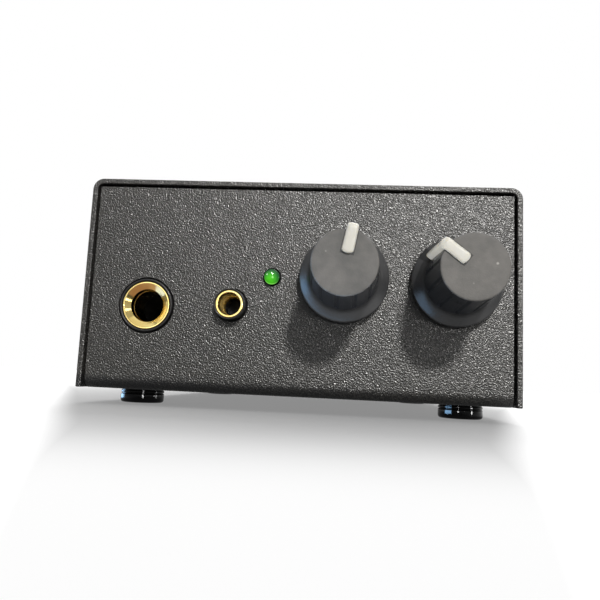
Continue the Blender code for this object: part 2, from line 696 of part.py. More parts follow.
def bush_seat(name, front, flange, flange_height, barrel, length, chamber, rear, parent):
    """The hollow that a bush and the plug behind it need, as one turned cutter."""
    step = front - flange_height - FIT_GAP
    shoulder = front - length - SEAT_GAP
    wide = flange / 2 + SLIP_GAP
    narrow = barrel / 2 + SLIP_GAP
    profile = [
        (0, front + flange_height), (wide, front + flange_height), (wide, step), (narrow, step),
        (narrow, shoulder), (chamber / 2, shoulder), (chamber / 2, rear), (0, rear),
    ]
    return turned(name, profile, None, parent)


def contact_springs(prefix, half_height, rear, width, reach, tip_length, ring_length, parent):
    """Two leaf springs in the jack's slot: the tip's above the axis, the ring's below it."""
    metal = look("spring_bronze", (0.6, 0.45, 0.25), 0.3, 1.0)
    outer = half_height - SEAT_GAP - SPRING_THICKNESS / 2
    inner = reach + SPRING_THICKNESS
    for name, sign, length in (("tip", 1, tip_length), ("ring", -1, ring_length)):
        contact = rear + length
        tail = inner + (outer - inner) / 2
        path = [(outer, rear + SEAT_GAP), (outer, contact - SPRING_RAMP), (inner, contact),
                (tail, contact + SPRING_TAIL)]
        leaf(prefix + "_" + name + "_spring", [(sign * y, z) for y, z in path], width, metal, parent)


def phone_jack(frames):
    """The 6.35 mm jack: housing with a nose through the panel, bush and two contact springs."""
    place = frame("phone_jack_place", (PHONE_JACK_X, PHONE_AXIS_HEIGHT, 0), upright=False,
                  parent=frames["front"])
    half = PHONE_BODY_WIDTH / 2
    floor = SEAT_GAP - PHONE_AXIS_ABOVE_BOARD
    rear = BEHIND_PANEL - PHONE_BODY_DEPTH
    housing = block("phone_jack_housing", (-half, floor, rear), (half, PHONE_BODY_RISE, BEHIND_PANEL),
                    black_plastic(), place)
    join(housing, nose("join_phone_nose", PHONE_NOSE_DIAMETER, PHONE_NOSE_EDGE, PHONE_NOSE_PROUD,
                       BEHIND_PANEL - JACK_WALL, place))
    front = PHONE_NOSE_PROUD - SLIP_GAP
    chamber_rear = rear + JACK_WALL
    slot_half = PHONE_AXIS_ABOVE_BOARD - SEAT_GAP - JACK_WALL
    slot_side = PHONE_SPRING_WIDTH / 2 + SEAT_GAP
    slot_front = chamber_rear + PHONE_RING_SPRING_LENGTH + 2 * SPRING_TAIL
    cut(
        housing,
        bush_seat("cut_phone_seat", front, PHONE_BUSH_FLANGE_DIAMETER, PHONE_BUSH_FLANGE_HEIGHT,
                  PHONE_BUSH_DIAMETER, PHONE_BUSH_LENGTH, PHONE_CHAMBER_DIAMETER, chamber_rear, place),
        block("cut_phone_slot", (-slot_side, -slot_half, chamber_rear), (slot_side, slot_half, slot_front),
              None, place),
    )
    jack_bush("phone_jack_bush", front, PHONE_BUSH_FLANGE_DIAMETER, PHONE_BUSH_FLANGE_HEIGHT,
              PHONE_BUSH_DIAMETER, PHONE_BUSH_LENGTH, PHONE_MOUTH_LIP, PHONE_MOUTH_DEPTH,
              PHONE_BORE, place)
    contact_springs("phone_jack", slot_half, chamber_rear, PHONE_SPRING_WIDTH, PHONE_SPRING_REACH,
                    PHONE_TIP_SPRING_LENGTH, PHONE_RING_SPRING_LENGTH, place)


def mini_jack(frames):
    """The 3.5 mm jack, with a nose that stands out of the panel."""
    place = frame("mini_jack_place", (MINI_JACK_X, MINI_AXIS_HEIGHT, 0), upright=False,
                  parent=frames["front"])
    half = MINI_BODY_WIDTH / 2
    floor = BOARD_TOP + SEAT_GAP - MINI_AXIS_HEIGHT
    rear = BEHIND_PANEL - MINI_BODY_DEPTH
    housing = block("mini_jack_housing", (-half, floor, rear), (half, MINI_BODY_RISE, BEHIND_PANEL),
                    black_plastic(), place)
    join(housing, nose("join_mini_nose", MINI_NOSE_DIAMETER, MINI_NOSE_EDGE, MINI_NOSE_PROUD,
                       BEHIND_PANEL - JACK_WALL, place))
    front = MINI_NOSE_PROUD - SLIP_GAP
    chamber_rear = rear + JACK_WALL
    slot_side = MINI_SPRING_WIDTH / 2 + SEAT_GAP
    slot_front = chamber_rear + MINI_RING_SPRING_LENGTH + 2 * SPRING_TAIL
    cut(
        housing,
        bush_seat("cut_mini_seat", front, MINI_BUSH_FLANGE_DIAMETER, MINI_BUSH_FLANGE_HEIGHT,
                  MINI_BUSH_DIAMETER, MINI_BUSH_LENGTH, MINI_CHAMBER_DIAMETER, chamber_rear, place),
        block("cut_mini_slot", (-slot_side, -MINI_SLOT_HALF_HEIGHT, chamber_rear),
              (slot_side, MINI_SLOT_HALF_HEIGHT, slot_front), None, place),
    )
    jack_bush("mini_jack_bush", front, MINI_BUSH_FLANGE_DIAMETER, MINI_BUSH_FLANGE_HEIGHT,
              MINI_BUSH_DIAMETER, MINI_BUSH_LENGTH, MINI_MOUTH_LIP, MINI_MOUTH_DEPTH,
              MINI_BORE, place)
    contact_springs("mini_jack", MINI_SLOT_HALF_HEIGHT, chamber_rear, MINI_SPRING_WIDTH, MINI_SPRING_REACH,
                    MINI_TIP_SPRING_LENGTH, MINI_RING_SPRING_LENGTH, place)


def power_led(frames):
    """A round LED pushed into its hole from behind, on two leads bent down into the board."""
    place = frame("led_place", (LED_X, LED_AXIS_HEIGHT, 0), upright=False, parent=frames["front"])
    radius = LED_DIAMETER / 2
    flange = LED_FLANGE_DIAMETER / 2
    profile = arc((0, LED_PROUD - radius), radius, 90, 0, 2 * EDGE_SEGMENTS)
    profile[0] = (0, LED_PROUD)
    profile += [(radius, BEHIND_PANEL), (flange, BEHIND_PANEL), (flange, LED_BASE), (0, LED_BASE)]
    turned("power_led", profile, look("green_lens", (0.05, 0.75, 0.2), 0.2), place, steps=SMALL_STEPS)
    board_bottom = BOARD_BOTTOM - LED_AXIS_HEIGHT - BOARD_LEAD_TAIL
    bend = LED_LEAD_BEND
    turn_z = LED_LEAD_DROP + bend
    route = [(0.0, LED_BASE - FIT_GAP)] + arc((-bend, turn_z), bend, 0, -90, BEND_SEGMENTS)
    route.append((board_bottom, LED_LEAD_DROP))
    for name, side in (("led_anode_lead", -1), ("led_cathode_lead", 1)):
        points = [(side * LED_LEAD_PITCH / 2, y, z) for y, z in route]
        wire(name, points, LED_LEAD_DIAMETER, bright_steel(), place)


def flare_radius(height):
    """Outside radius of the knob's flared skirt at a height above the panel."""
    share = (KNOB_FLARE_TOP - height) / (KNOB_FLARE_TOP - KNOB_FLARE_FOOT)
    return (KNOB_GRIP_DIAMETER + (KNOB_SKIRT_DIAMETER - KNOB_GRIP_DIAMETER) * share ** KNOB_FLARE_POWER) / 2


def grip_radius(height):
    """Outside radius of the knob's tapered grip at a height above the panel."""
    share = (height - KNOB_FLARE_TOP) / (KNOB_TOP - KNOB_FLARE_TOP)
    return (KNOB_GRIP_DIAMETER + (KNOB_FACE_DIAMETER - KNOB_GRIP_DIAMETER) * share) / 2


def pointer_outline(grow, proud, leg_proud):
    """Side view of the L-shaped pointer as points (0, out, up), grown all round for its slot."""
    foot = KNOB_FLARE_TOP + POINTER_FOOT_GAP - grow
    sunk = POINTER_SUNK + grow
    inner = POINTER_INNER_RADIUS - grow
    top = KNOB_TOP + proud
    corner = POINTER_CORNER_RADIUS
    corner_middle = (grip_radius(KNOB_TOP) + leg_proud - corner, top - corner)
    points = [(inner, KNOB_TOP - sunk), (inner, top)]
    points += arc(corner_middle, corner, 90, 0, BEND_SEGMENTS)
    points += [(grip_radius(foot) + leg_proud, foot), (grip_radius(foot) - sunk, foot)]
    points.append((grip_radius(KNOB_TOP - sunk) - sunk, KNOB_TOP - sunk))
    return [(0, out, up) for out, up in points]


def pointer_solid(name, grow, proud, leg_proud, material, parent):
    """The pointer's outline drawn out, narrowed towards the leg's foot, and rounded at the arm's end."""
    obj = prism(name, pointer_outline(grow, proud, leg_proud), "X", -1.0, 1.0, material, parent)
    foot = KNOB_FLARE_TOP + POINTER_FOOT_GAP
    for vert in obj.data.vertices:
        share = min(max((vert.co.z - foot) / (KNOB_TOP - foot), 0.0), 1.0)
        width = POINTER_FOOT_WIDTH + (POINTER_WIDTH - POINTER_FOOT_WIDTH) * share
        vert.co.x *= width / 2 + grow
    bm = bmesh.new()
    bm.from_mesh(obj.data)
    inner = POINTER_INNER_RADIUS - grow
    at_end = {vert for vert in bm.verts if abs(vert.co.y - inner) < WELD}
    uprights = [edge for edge in bm.edges
                if at_end.issuperset(edge.verts) and edge.verts[0].co.x * edge.verts[1].co.x > 0]
    bmesh.ops.bevel(bm, geom=uprights, offset=POINTER_END_RADIUS + grow, segments=EDGE_SEGMENTS,
                    profile=0.5, affect="EDGES")
    bm.to_mesh(obj.data)
    bm.free()
    return obj


def knob_grooves(name, parent):
    """Cutter for the grip's grooves: slim bars leaning with its taper, none where the pointer is."""
    top = KNOB_TOP + KNOB_EDGE_RADIUS
    foot = KNOB_FLARE_TOP + POINTER_FOOT_GAP
    outset = KNOB_GROOVE_RADIUS - KNOB_GROOVE_DEPTH
    lean = math.atan2(grip_radius(foot) - grip_radius(top), top - foot)
    middle = Vector((0, grip_radius((top + foot) / 2) + outset, (top + foot) / 2))
    bm = bmesh.new()
    for i in range(1, KNOB_GROOVES):
        turn = Matrix.Rotation(2 * math.pi * i / KNOB_GROOVES, 4, "Z")
        bmesh.ops.create_cone(
            bm, cap_ends=True, segments=PIN_STEPS, radius1=KNOB_GROOVE_RADIUS,
            radius2=KNOB_GROOVE_RADIUS, depth=(top - foot) / math.cos(lean),
            matrix=turn @ Matrix.Translation(middle) @ Matrix.Rotation(lean, 4, "X"),
        )
    return add_object(name, mesh_from(bm, name), None, parent)


def d_section(radius, flat, count):
    """A circle with a flat on its lower side, as points (x, y, 0)."""
    start = -math.degrees(math.asin(flat / radius))
    return [(x, y, 0) for x, y in arc((0, 0), radius, start, 180 - start, count)]


def knob(side, parent):
    """A moulded knob: fluted tapered grip, flared hollow skirt, and a D bore for the shaft."""
    skirt = KNOB_SKIRT_DIAMETER / 2
    face = KNOB_FACE_DIAMETER / 2
    edge = KNOB_EDGE_RADIUS
    profile = [(0, KNOB_TOP)] + arc((face - edge, KNOB_TOP - edge), edge, 90, 0, EDGE_SEGMENTS)
    drop = (KNOB_FLARE_TOP - KNOB_FLARE_FOOT) / FLARE_SEGMENTS
    heights = [KNOB_FLARE_TOP - drop * i for i in range(FLARE_SEGMENTS)] + [KNOB_FLARE_FOOT]
    profile += [(flare_radius(height), height) for height in heights]
    profile += [(skirt, KNOB_STANDOFF), (skirt - KNOB_WALL, KNOB_STANDOFF)]
    profile += [(skirt - KNOB_WALL, KNOB_FLARE_FOOT)]
    profile += [(flare_radius(KNOB_CEILING) - KNOB_WALL, KNOB_CEILING), (0, KNOB_CEILING)]
    soft = look("knob_black", (0.03, 0.03, 0.031), 0.5)
    body = turned(side + "_knob", profile, soft, parent, steps=KNOB_STEPS)
    bore_radius = POT_SHAFT_DIAMETER / 2 + SLIP_GAP
    bore_top = POT_SHAFT_LENGTH + SEAT_GAP
    section = d_section(bore_radius, POT_SHAFT_FLAT + SLIP_GAP, ROUND_STEPS)
    bore = prism("cut_%s_knob_bore" % side, section, "Z", KNOB_CEILING - SHEET, bore_top, None, parent)
    slot = pointer_solid("cut_%s_pointer_slot" % side, SLIP_GAP, 2 * POINTER_PROUD, 2 * POINTER_LEG_PROUD,
                         None, parent)
    cut(body, knob_grooves("cut_%s_knob_grooves" % side, parent), slot, bore)
    ivory = look("pointer_white", (0.8, 0.79, 0.74), 0.4)
    pointer = pointer_solid(side + "_knob_pointer", 0.0, POINTER_PROUD, POINTER_LEG_PROUD, ivory, parent)
    round_edges(pointer, POINTER_EDGE_RADIUS)


def pot_shaft(side, parent):
    """The turning shaft: flattened at the knob, with the wiper disc at its rear end."""
    shaft = POT_SHAFT_DIAMETER / 2
    disc = POT_WIPER_DIAMETER / 2
    disc_front = POT_FRONT - POT_CASE_FRONT - SEAT_GAP
    disc_rear = POT_REAR
    profile = [(0, POT_SHAFT_LENGTH), (shaft, POT_SHAFT_LENGTH), (shaft, disc_front), (disc, disc_front),
               (disc, disc_rear), (0, disc_rear)]
    body = turned(side + "_pot_shaft", profile, look("shaft_grey", (0.55, 0.55, 0.56), 0.35, 1.0), parent,
                  steps=SMALL_STEPS)
    cut(body, block("cut_%s_shaft_flat" % side,
                    (-POT_SHAFT_DIAMETER, -POT_SHAFT_DIAMETER, KNOB_CEILING - SEAT_GAP),
                    (POT_SHAFT_DIAMETER, -POT_SHAFT_FLAT, POT_SHAFT_LENGTH + SHEET), None, parent))


def potentiometer(side, place):
    """Case, threaded bushing, washer, nut and terminal wafer of one control."""
    bore = POT_SHAFT_DIAMETER / 2 + FIT_GAP
    thread = POT_BUSHING_DIAMETER / 2
    collar = POT_COLLAR_DIAMETER / 2
    turned(side + "_pot_bushing", [
        (thread, POT_BUSHING_PROUD), (thread, BEHIND_PANEL), (collar, BEHIND_PANEL),
        (collar, BEHIND_PANEL - POT_COLLAR_HEIGHT), (bore, BEHIND_PANEL - POT_COLLAR_HEIGHT),
        (bore, POT_BUSHING_PROUD),
    ], bright_steel(), place, steps=SMALL_STEPS)
    loose = thread + FIT_GAP
    washer_top = FIT_GAP + POT_WASHER_THICKNESS
    washer = POT_WASHER_DIAMETER / 2
    turned(side + "_pot_washer", [(washer, washer_top), (washer, FIT_GAP), (loose, FIT_GAP),
                                  (loose, washer_top)], bright_steel(), place, steps=SMALL_STEPS)
    nut_foot = washer_top + FIT_GAP
    nut_top = nut_foot + POT_NUT_THICKNESS
    nut_corners = POT_NUT_FLATS / math.cos(math.pi / 6)
    nut = bars(side + "_pot_nut", [(0, 0, nut_corners)], nut_foot, nut_top, place, 6)
    nut.data.materials.append(bright_steel())
    cut(nut, bars("cut_%s_nut" % side, [(0, 0, 2 * loose)], nut_foot - SHEET, nut_top + SHEET, place,
                  SMALL_STEPS))
    half = POT_CASE_WIDTH / 2
    floor = BOARD_TOP + SEAT_GAP - KNOB_AXIS_HEIGHT
    case = block(side + "_pot_case", (-half, floor, POT_REAR), (half, POT_CASE_RISE, POT_FRONT),
                 look("pot_case_blue", (0.05, 0.07, 0.12), 0.45), place)
    chamber = POT_WIPER_DIAMETER + 2 * SEAT_GAP
    cut(
        case,
        bars("cut_%s_case_bore" % side, [(0, 0, 2 * bore)], POT_REAR, POT_FRONT + SHEET, place),
        bars("cut_%s_case_chamber" % side, [(0, 0, chamber)], POT_REAR - SHEET,
             POT_FRONT - POT_CASE_FRONT, place),
    )
    wafer_front = POT_REAR - SEAT_GAP
    wafer_rear = wafer_front - POT_WAFER_THICKNESS
    wafer = block(side + "_pot_wafer", (-half, floor, wafer_rear), (half, POT_CASE_RISE, wafer_front),
                  look("wafer_brown", (0.25, 0.13, 0.06), 0.6), place)
    leg_half = POT_TERMINAL_WIDTH / 2
    leg_foot = BOARD_BOTTOM - BOARD_LEAD_TAIL - KNOB_AXIS_HEIGHT
    leg_depth = POT_TERMINAL_THICKNESS / 2
    legs = [
        ((step * POT_TERMINAL_PITCH - leg_half, leg_foot, POT_TERMINAL_Z - leg_depth),
         (step * POT_TERMINAL_PITCH + leg_half, floor + POT_TERMINAL_WIDTH, POT_TERMINAL_Z + leg_depth))
        for step in (-1, 0, 1)
    ]
    join(wafer, blocks("join_%s_pot_terminals" % side, legs, place))


def controls(frames):
    """Both controls: the fixed potentiometer on the panel, and what turns on its axis."""
    for side, x, turn in (("left", LEFT_KNOB_X, LEFT_KNOB_TURN), ("right", RIGHT_KNOB_X, RIGHT_KNOB_TURN)):
        place = frame(side + "_pot_place", (x, KNOB_AXIS_HEIGHT, 0), upright=False, parent=frames["front"])
        potentiometer(side, place)
        turning = frame(side + "_knob_axis", (0, 0, 0), -turn, upright=False, parent=place)
        pot_shaft(side, turning)
        knob(side, turning)


def phono_sockets(frames):
    """Two phono sockets in one moulded block on the rear panel, with their shells and inserts."""
    place = frame("phono_place", (PHONO_MIDDLE_X, PHONO_AXIS_HEIGHT, 0), upright=False,
                  parent=frames["rear"])
    half = PHONO_BLOCK_WIDTH / 2
    floor = BOARD_TOP + SEAT_GAP - PHONO_AXIS_HEIGHT
    housing = block("phono_block", (-half, floor, BEHIND_PANEL - PHONO_BLOCK_DEPTH),
                    (half, PHONO_BLOCK_RISE, BEHIND_PANEL), black_plastic(), place)
    xs = [-PHONO_PITCH / 2, PHONO_PITCH / 2]
    bore = PHONO_SHELL_DIAMETER + 2 * FIT_GAP
    join(housing, bars("join_phono_collars", [(x, 0, PHONO_COLLAR_DIAMETER) for x in xs],
                       BEHIND_PANEL - JACK_WALL, PHONO_COLLAR_PROUD, place))
    cut(housing, bars("cut_phono_bores", [(x, 0, bore) for x in xs], -PHONO_SHELL_SUNK - SEAT_GAP,
                      PHONO_COLLAR_PROUD + SHEET, place))
    outer = PHONO_SHELL_DIAMETER / 2
    inner = outer - PHONO_SHELL_WALL
    core = inner - FIT_GAP
    hole = PHONO_BORE / 2
    tip = PHONO_SHELL_PROUD - PHONO_INSERT_RECESS
    for side, x, colour in (("left", xs[0], (0.85, 0.85, 0.83)), ("right", xs[1], (0.6, 0.03, 0.03))):
        turned("phono_shell_" + side, [
            (outer, PHONO_SHELL_PROUD), (outer, -PHONO_SHELL_SUNK), (inner, -PHONO_SHELL_SUNK),
            (inner, PHONO_SHELL_PROUD),
        ], bright_steel(), place, (x, 0, 0))
        turned("phono_insert_" + side, [
            (0, tip - PHONO_BORE_DEPTH), (hole, tip - PHONO_BORE_DEPTH), (hole, tip),
            (core, tip), (core, -PHONO_SHELL_SUNK), (0, -PHONO_SHELL_SUNK),
        ], look("phono_insert_" + side, colour, 0.4), place, (x, 0, 0))


def supply_inlet(frames):
    """The low-voltage inlet: housing with a round nose flush in the rear panel, and its centre pin."""
    place = frame("inlet_place", (INLET_X, INLET_AXIS_HEIGHT, 0), upright=False, parent=frames["rear"])
    half = INLET_BODY_WIDTH / 2
    floor = BOARD_TOP + SEAT_GAP - INLET_AXIS_HEIGHT
    rear = BEHIND_PANEL - INLET_BODY_DEPTH
    housing = block("supply_inlet_housing", (-half, floor, rear), (half, INLET_BODY_RISE, BEHIND_PANEL),
                    black_plastic(), place)
    join(housing, nose("join_inlet_nose", INLET_NOSE_DIAMETER, PHONE_NOSE_EDGE, INLET_NOSE_PROUD,
                       BEHIND_PANEL - JACK_WALL, place))
    pin = INLET_PIN_DIAMETER / 2
    cut(
        housing,
        bars("cut_inlet_bore", [(0, 0, INLET_BORE)], INLET_NOSE_PROUD - INLET_BORE_DEPTH,
             INLET_NOSE_PROUD + SHEET, place),
        bars("cut_inlet_pin_seat", [(0, 0, INLET_PIN_DIAMETER + 2 * FIT_GAP)], rear - SHEET, -SHEET, place,
             SMALL_STEPS),
    )
    tip = INLET_NOSE_PROUD - INLET_PIN_RECESS
    profile = [(0, tip), (pin - SLIP_GAP, tip), (pin, tip - pin), (pin, rear), (0, rear)]
    turned("supply_inlet_pin", profile, bright_steel(), place, steps=SMALL_STEPS)


def driver_chips(frames):
    """Two eight-legged chips, side by side on the board."""
    half_length = CHIP_LENGTH / 2
    half_width = CHIP_WIDTH / 2
    top = CHIP_LIFT + CHIP_HEIGHT
    middle = CHIP_LIFT + CHIP_HEIGHT / 2
    sink = CHIP_LEG_THICKNESS / 2
    for side, sign in (("left", -1), ("right", 1)):
        place = frame("chip_place_" + side, (sign * CHIP_SPREAD, CHIP_Y, 0), upright=False,
                      parent=frames["board"])
        chip = block("driver_chip_" + side, (-half_width, -half_length, CHIP_LIFT),
                     (half_width, half_length, top), look("chip_black", (0.02, 0.02, 0.02), 0.5), place)
        legs = []
        for edge in (-half_width, half_width):
            for step in (-1.5, -0.5, 0.5, 1.5):
                y = step * CHIP_LEG_PITCH
                legs.append(((edge - sink, y - CHIP_LEG_WIDTH / 2, FIT_GAP),
                             (edge + sink, y + CHIP_LEG_WIDTH / 2, middle)))
        join(chip, blocks("join_chip_legs_" + side, legs, place))


def capacitors(frames):
    """Three electrolytic capacitors in a row, each a can with a rolled groove near its foot."""
    radius = CAPACITOR_DIAMETER / 2
    edge = CAPACITOR_EDGE
    groove = 4 * edge
    profile = [(0, CAPACITOR_HEIGHT)]
    profile += arc((radius - edge, CAPACITOR_HEIGHT - edge), edge, 90, 0, EDGE_SEGMENTS)
    profile += [(radius, groove + edge), (radius - edge / 2, groove), (radius, groove - edge)]
    profile += [(radius, FIT_GAP), (0, FIT_GAP)]
    can = look("capacitor_sleeve", (0.03, 0.04, 0.09), 0.35)
    for step, name in ((-1, "left"), (0, "middle"), (1, "right")):
        turned("capacitor_" + name, profile, can, frames["board"],
               (step * CAPACITOR_PITCH, CAPACITOR_Y, 0), SMALL_STEPS)


def regulator(frames):
    """A three-legged voltage regulator standing on the board, with its metal tab above it."""
    place = frame("regulator_place", (REGULATOR_X, REGULATOR_Y, 0), upright=False, parent=frames["board"])
    half = REGULATOR_WIDTH / 2
    depth = REGULATOR_BODY_DEPTH / 2
    top = REGULATOR_LIFT + REGULATOR_BODY_HEIGHT
    tab_rear = depth - FIT_GAP
    tab_top = top + REGULATOR_TAB_HEIGHT
    body = block("voltage_regulator", (-half, -depth, REGULATOR_LIFT), (half, depth, top),
                 look("chip_black", (0.02, 0.02, 0.02), 0.5), place)
    tab = block("join_regulator_tab", (-half + FIT_GAP, tab_rear - REGULATOR_TAB_THICKNESS, top - SHEET),
                (half - FIT_GAP, tab_rear, tab_top), None, place)
    leg = REGULATOR_LEG_WIDTH / 2
    legs = [((step * REGULATOR_LEG_PITCH - leg, -leg, FIT_GAP),
             (step * REGULATOR_LEG_PITCH + leg, leg, REGULATOR_LIFT + SHEET)) for step in (-1, 0, 1)]
    join(body, tab, blocks("join_regulator_legs", legs, place))
    hole_place = frame("regulator_hole_place", (0, 0, (top + tab_top) / 2), parent=place)
    cut(body, bars("cut_regulator_hole", [(0, 0, REGULATOR_TAB_HOLE)], -REGULATOR_BODY_DEPTH,
                   REGULATOR_BODY_DEPTH, hole_place, SMALL_STEPS))


def build():
    half_turn = math.pi
    frames = {
        "front": frame("front_panel_face", (0, PANEL_Y, FOOT_HEIGHT)),
        "right": frame("right_side_face", (CASE_WIDTH / 2, MIDDLE_Y, FOOT_HEIGHT), half_turn / 2),
        "rear": frame("rear_panel_face", (0, REAR_Y, FOOT_HEIGHT), half_turn),
        "left": frame("left_side_face", (-CASE_WIDTH / 2, MIDDLE_Y, FOOT_HEIGHT), half_turn * 1.5),
        "floor": frame("floor_underside", (0, MIDDLE_Y, FOOT_HEIGHT), upright=False),
        "board": frame("board_top", (0, MIDDLE_Y, FOOT_HEIGHT + BOARD_TOP), upright=False),
    }
    chassis_tray(frames)
    top_cover(frames)
    cover_screws(frames)
    rubber_feet(frames)
    standoffs(frames)
    circuit_board(frames)
    phone_jack(frames)
    mini_jack(frames)
    power_led(frames)
    controls(frames)
    phono_sockets(frames)
    supply_inlet(frames)
    driver_chips(frames)
    capacitors(frames)
    regulator(frames)


clear_scene()
PARTS = new_collection("headphone_amplifier")
CUTTERS = new_collection("cutters")
build()
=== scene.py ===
# %% [markdown]
# # A small headphone amplifier, dressed for its portrait
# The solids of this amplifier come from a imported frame: a folded steel case, two sockets, a pilot
# light, two knobs and the works inside. They are true in size but plain. This lesson gives every outer
# part the curves and the finish that its solid only hints at. Loading the frame comes first, because
# the sizes and places below are read from it.

import json

import bmesh
import bpy
import numpy as np
from mathutils import Matrix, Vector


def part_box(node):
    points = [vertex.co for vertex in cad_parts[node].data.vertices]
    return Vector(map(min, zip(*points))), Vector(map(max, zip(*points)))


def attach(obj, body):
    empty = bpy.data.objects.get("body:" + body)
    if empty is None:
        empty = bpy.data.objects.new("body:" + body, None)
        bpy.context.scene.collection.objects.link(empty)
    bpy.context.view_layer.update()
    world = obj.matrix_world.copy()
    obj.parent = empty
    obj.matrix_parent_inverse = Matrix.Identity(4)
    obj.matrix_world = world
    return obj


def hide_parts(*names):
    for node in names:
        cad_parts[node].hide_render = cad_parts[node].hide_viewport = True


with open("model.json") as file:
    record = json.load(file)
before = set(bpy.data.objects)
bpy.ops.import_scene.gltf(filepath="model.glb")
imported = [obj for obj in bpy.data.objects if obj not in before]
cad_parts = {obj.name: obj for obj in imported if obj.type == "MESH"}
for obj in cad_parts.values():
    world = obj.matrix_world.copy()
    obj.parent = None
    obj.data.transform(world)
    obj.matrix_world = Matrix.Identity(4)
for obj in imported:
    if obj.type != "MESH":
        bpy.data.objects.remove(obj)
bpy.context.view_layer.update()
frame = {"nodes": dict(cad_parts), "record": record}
MM = 0.001

# %% [markdown]
# Every place is taken from a solid's box. A turned part has its axis through the middle of its box, so
# one small reader gives the low corner, the high corner and the middle of any solid.

# %% Read places from the frame
def span(node):
    """The lowest corner, the highest corner and the middle of a solid's box, in metres."""
    low, high = (np.array(corner, float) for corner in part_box(node))
    return low, high, (low + high) / 2


tray_low, tray_high, tray_middle = span("chassis_tray")
cover_low, cover_high, cover_middle = span("top_cover")
PANEL_Y = tray_low[1]
REAR_Y = tray_high[1]
print("front panel at y = %.1f mm, rear panel at y = %.1f mm" % (PANEL_Y / MM, REAR_Y / MM))

# %% [markdown]
# The camera stands close to the front, low and a little to the right of the middle, so the top and the
# sides of the case stay out of sight and the knobs lean outwards. A camera can be aimed with a
# constraint, but here its own axes are written straight into its matrix: right, up and backwards.

# %% Camera
EYE = np.array([9.06 * MM, PANEL_Y - 120.42 * MM, 6.79 * MM])
GAZE = np.array([-0.075, 0.989, 0.125])
HEAD_UP = np.array([-0.038, -0.128, 0.991])


def posed(backwards, up, place):
    """A matrix whose axes are right (up x backwards), their cross product and backwards, set at a place."""
    backwards = backwards / np.linalg.norm(backwards)
    right = np.cross(up, backwards)
    right /= np.linalg.norm(right)
    pose = np.eye(4)
    pose[:3, :] = np.stack([right, np.cross(backwards, right), backwards, place], axis=1)
    return Matrix(pose.tolist())


lens = bpy.data.cameras.new("portrait")
lens.sensor_width = 36.0
lens.lens = 36.47
lens.shift_x = 0.0047
lens.shift_y = 0.004
lens.clip_start = 0.005
camera = bpy.data.objects.new("portrait", lens)
camera.matrix_world = posed(-GAZE, HEAD_UP, EYE)
bpy.context.scene.collection.objects.link(camera)
bpy.context.scene.camera = camera
print("camera %.0f mm from the panel" % ((PANEL_Y - EYE[1]) / MM))

# %% [markdown]
# Nearly every part of this amplifier is a sheet that was bent or a shape that was turned, so each one
# is a grid of points worked out from two parameters. Several grids may make one part. They are laid
# into one mesh, points that fall together are merged, which closes seams and poles, and edges sharper
# than a set angle are marked so that round faces shade round and corners stay crisp.

# %% Grids of points into pieces
SAME_POINT = 1e-7


def laid(*parts):
    """Coordinates side by side in a last axis, each stretched to the shape they have together."""
    return np.stack(np.broadcast_arrays(*parts), axis=-1)


def grid_quads(rows, columns, around):
    """Each quad takes a point, the next in its row and the two behind them; around joins the row's ends."""
    here = np.arange(rows * columns).reshape(rows, columns)
    right = np.roll(here, -1, axis=1)
    if not around:
        here, right = here[:, :-1], right[:, :-1]
    return laid(here[:-1], right[:-1], right[1:], here[1:]).reshape(-1, 4)


def make_piece(name, patches, inside=None, sharp=38.0, marks=None):
    """Lay grids (rows x columns x 3, closed around or not) into one object whose faces point outwards.

    Where inside is given, the piece is an open sheet and faces away from that point. The point
    attribute "along" keeps each row's distance along the profile, for finishes that follow a turned
    form. Further attributes come in marks, one value to a point.
    """
    points, quads, along, start = [], [], [], 0
    for grid, around in patches:
        rows, columns = grid.shape[:2]
        step = np.linalg.norm(np.diff(grid, axis=0), axis=2).mean(axis=1)
        along.append(np.repeat(np.concatenate([[0.0], np.cumsum(step)]), columns))
        points.append(grid.reshape(-1, 3))
        quads.append(grid_quads(rows, columns, around) + start)
        start += rows * columns
    mesh = bpy.data.meshes.new(name)
    mesh.from_pydata(np.concatenate(points).tolist(), [], np.concatenate(quads).tolist())
    for label, values in {"along": np.concatenate(along), **(marks or {})}.items():
        mesh.attributes.new(label, "FLOAT", "POINT").data.foreach_set("value", np.ravel(values))
    bm = bmesh.new()
    bm.from_mesh(mesh)
    bmesh.ops.remove_doubles(bm, verts=bm.verts, dist=SAME_POINT)
    bmesh.ops.dissolve_degenerate(bm, edges=bm.edges, dist=SAME_POINT)
    bmesh.ops.recalc_face_normals(bm, faces=bm.faces)
    bm.to_mesh(mesh)
    bm.free()
    if inside is not None:
        centres = np.empty(len(mesh.polygons) * 3)
        normals = np.empty(len(mesh.polygons) * 3)
        mesh.polygons.foreach_get("center", centres)
        mesh.polygons.foreach_get("normal", normals)
        if np.sum((centres.reshape(-1, 3) - inside) * normals.reshape(-1, 3)) < 0:
            mesh.flip_normals()
    mesh.shade_smooth()
    mesh.set_sharp_from_angle(angle=np.radians(sharp))
    piece = bpy.data.objects.new(name, mesh)
    bpy.context.scene.collection.objects.link(piece)
    return piece


# %% [markdown]
# Each piece then tells the frame which body it moves with, what it is made of and which solids it stands
# for. Finishes are kept by the name of their slot, so that a piece can be given one by name.

# %% Handing a piece over
finishes = {}


def settle(piece, body, slot, *nodes):
    """Hand a piece its body, its finish and the solids it stands for."""
    piece.data.materials.append(finishes[slot])
    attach(piece, body)
    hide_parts(*nodes)
    print("%s: %d faces for %s" % (piece.name, len(piece.data.polygons), ", ".join(nodes)))


# %% [markdown]
# Finishes are node trees. A few small helpers keep them readable: one places a node and fills its
# sockets, one does arithmetic, one carries a value from range to range, one mixes two colours, one
# feeds the shader, and one opens an empty group.

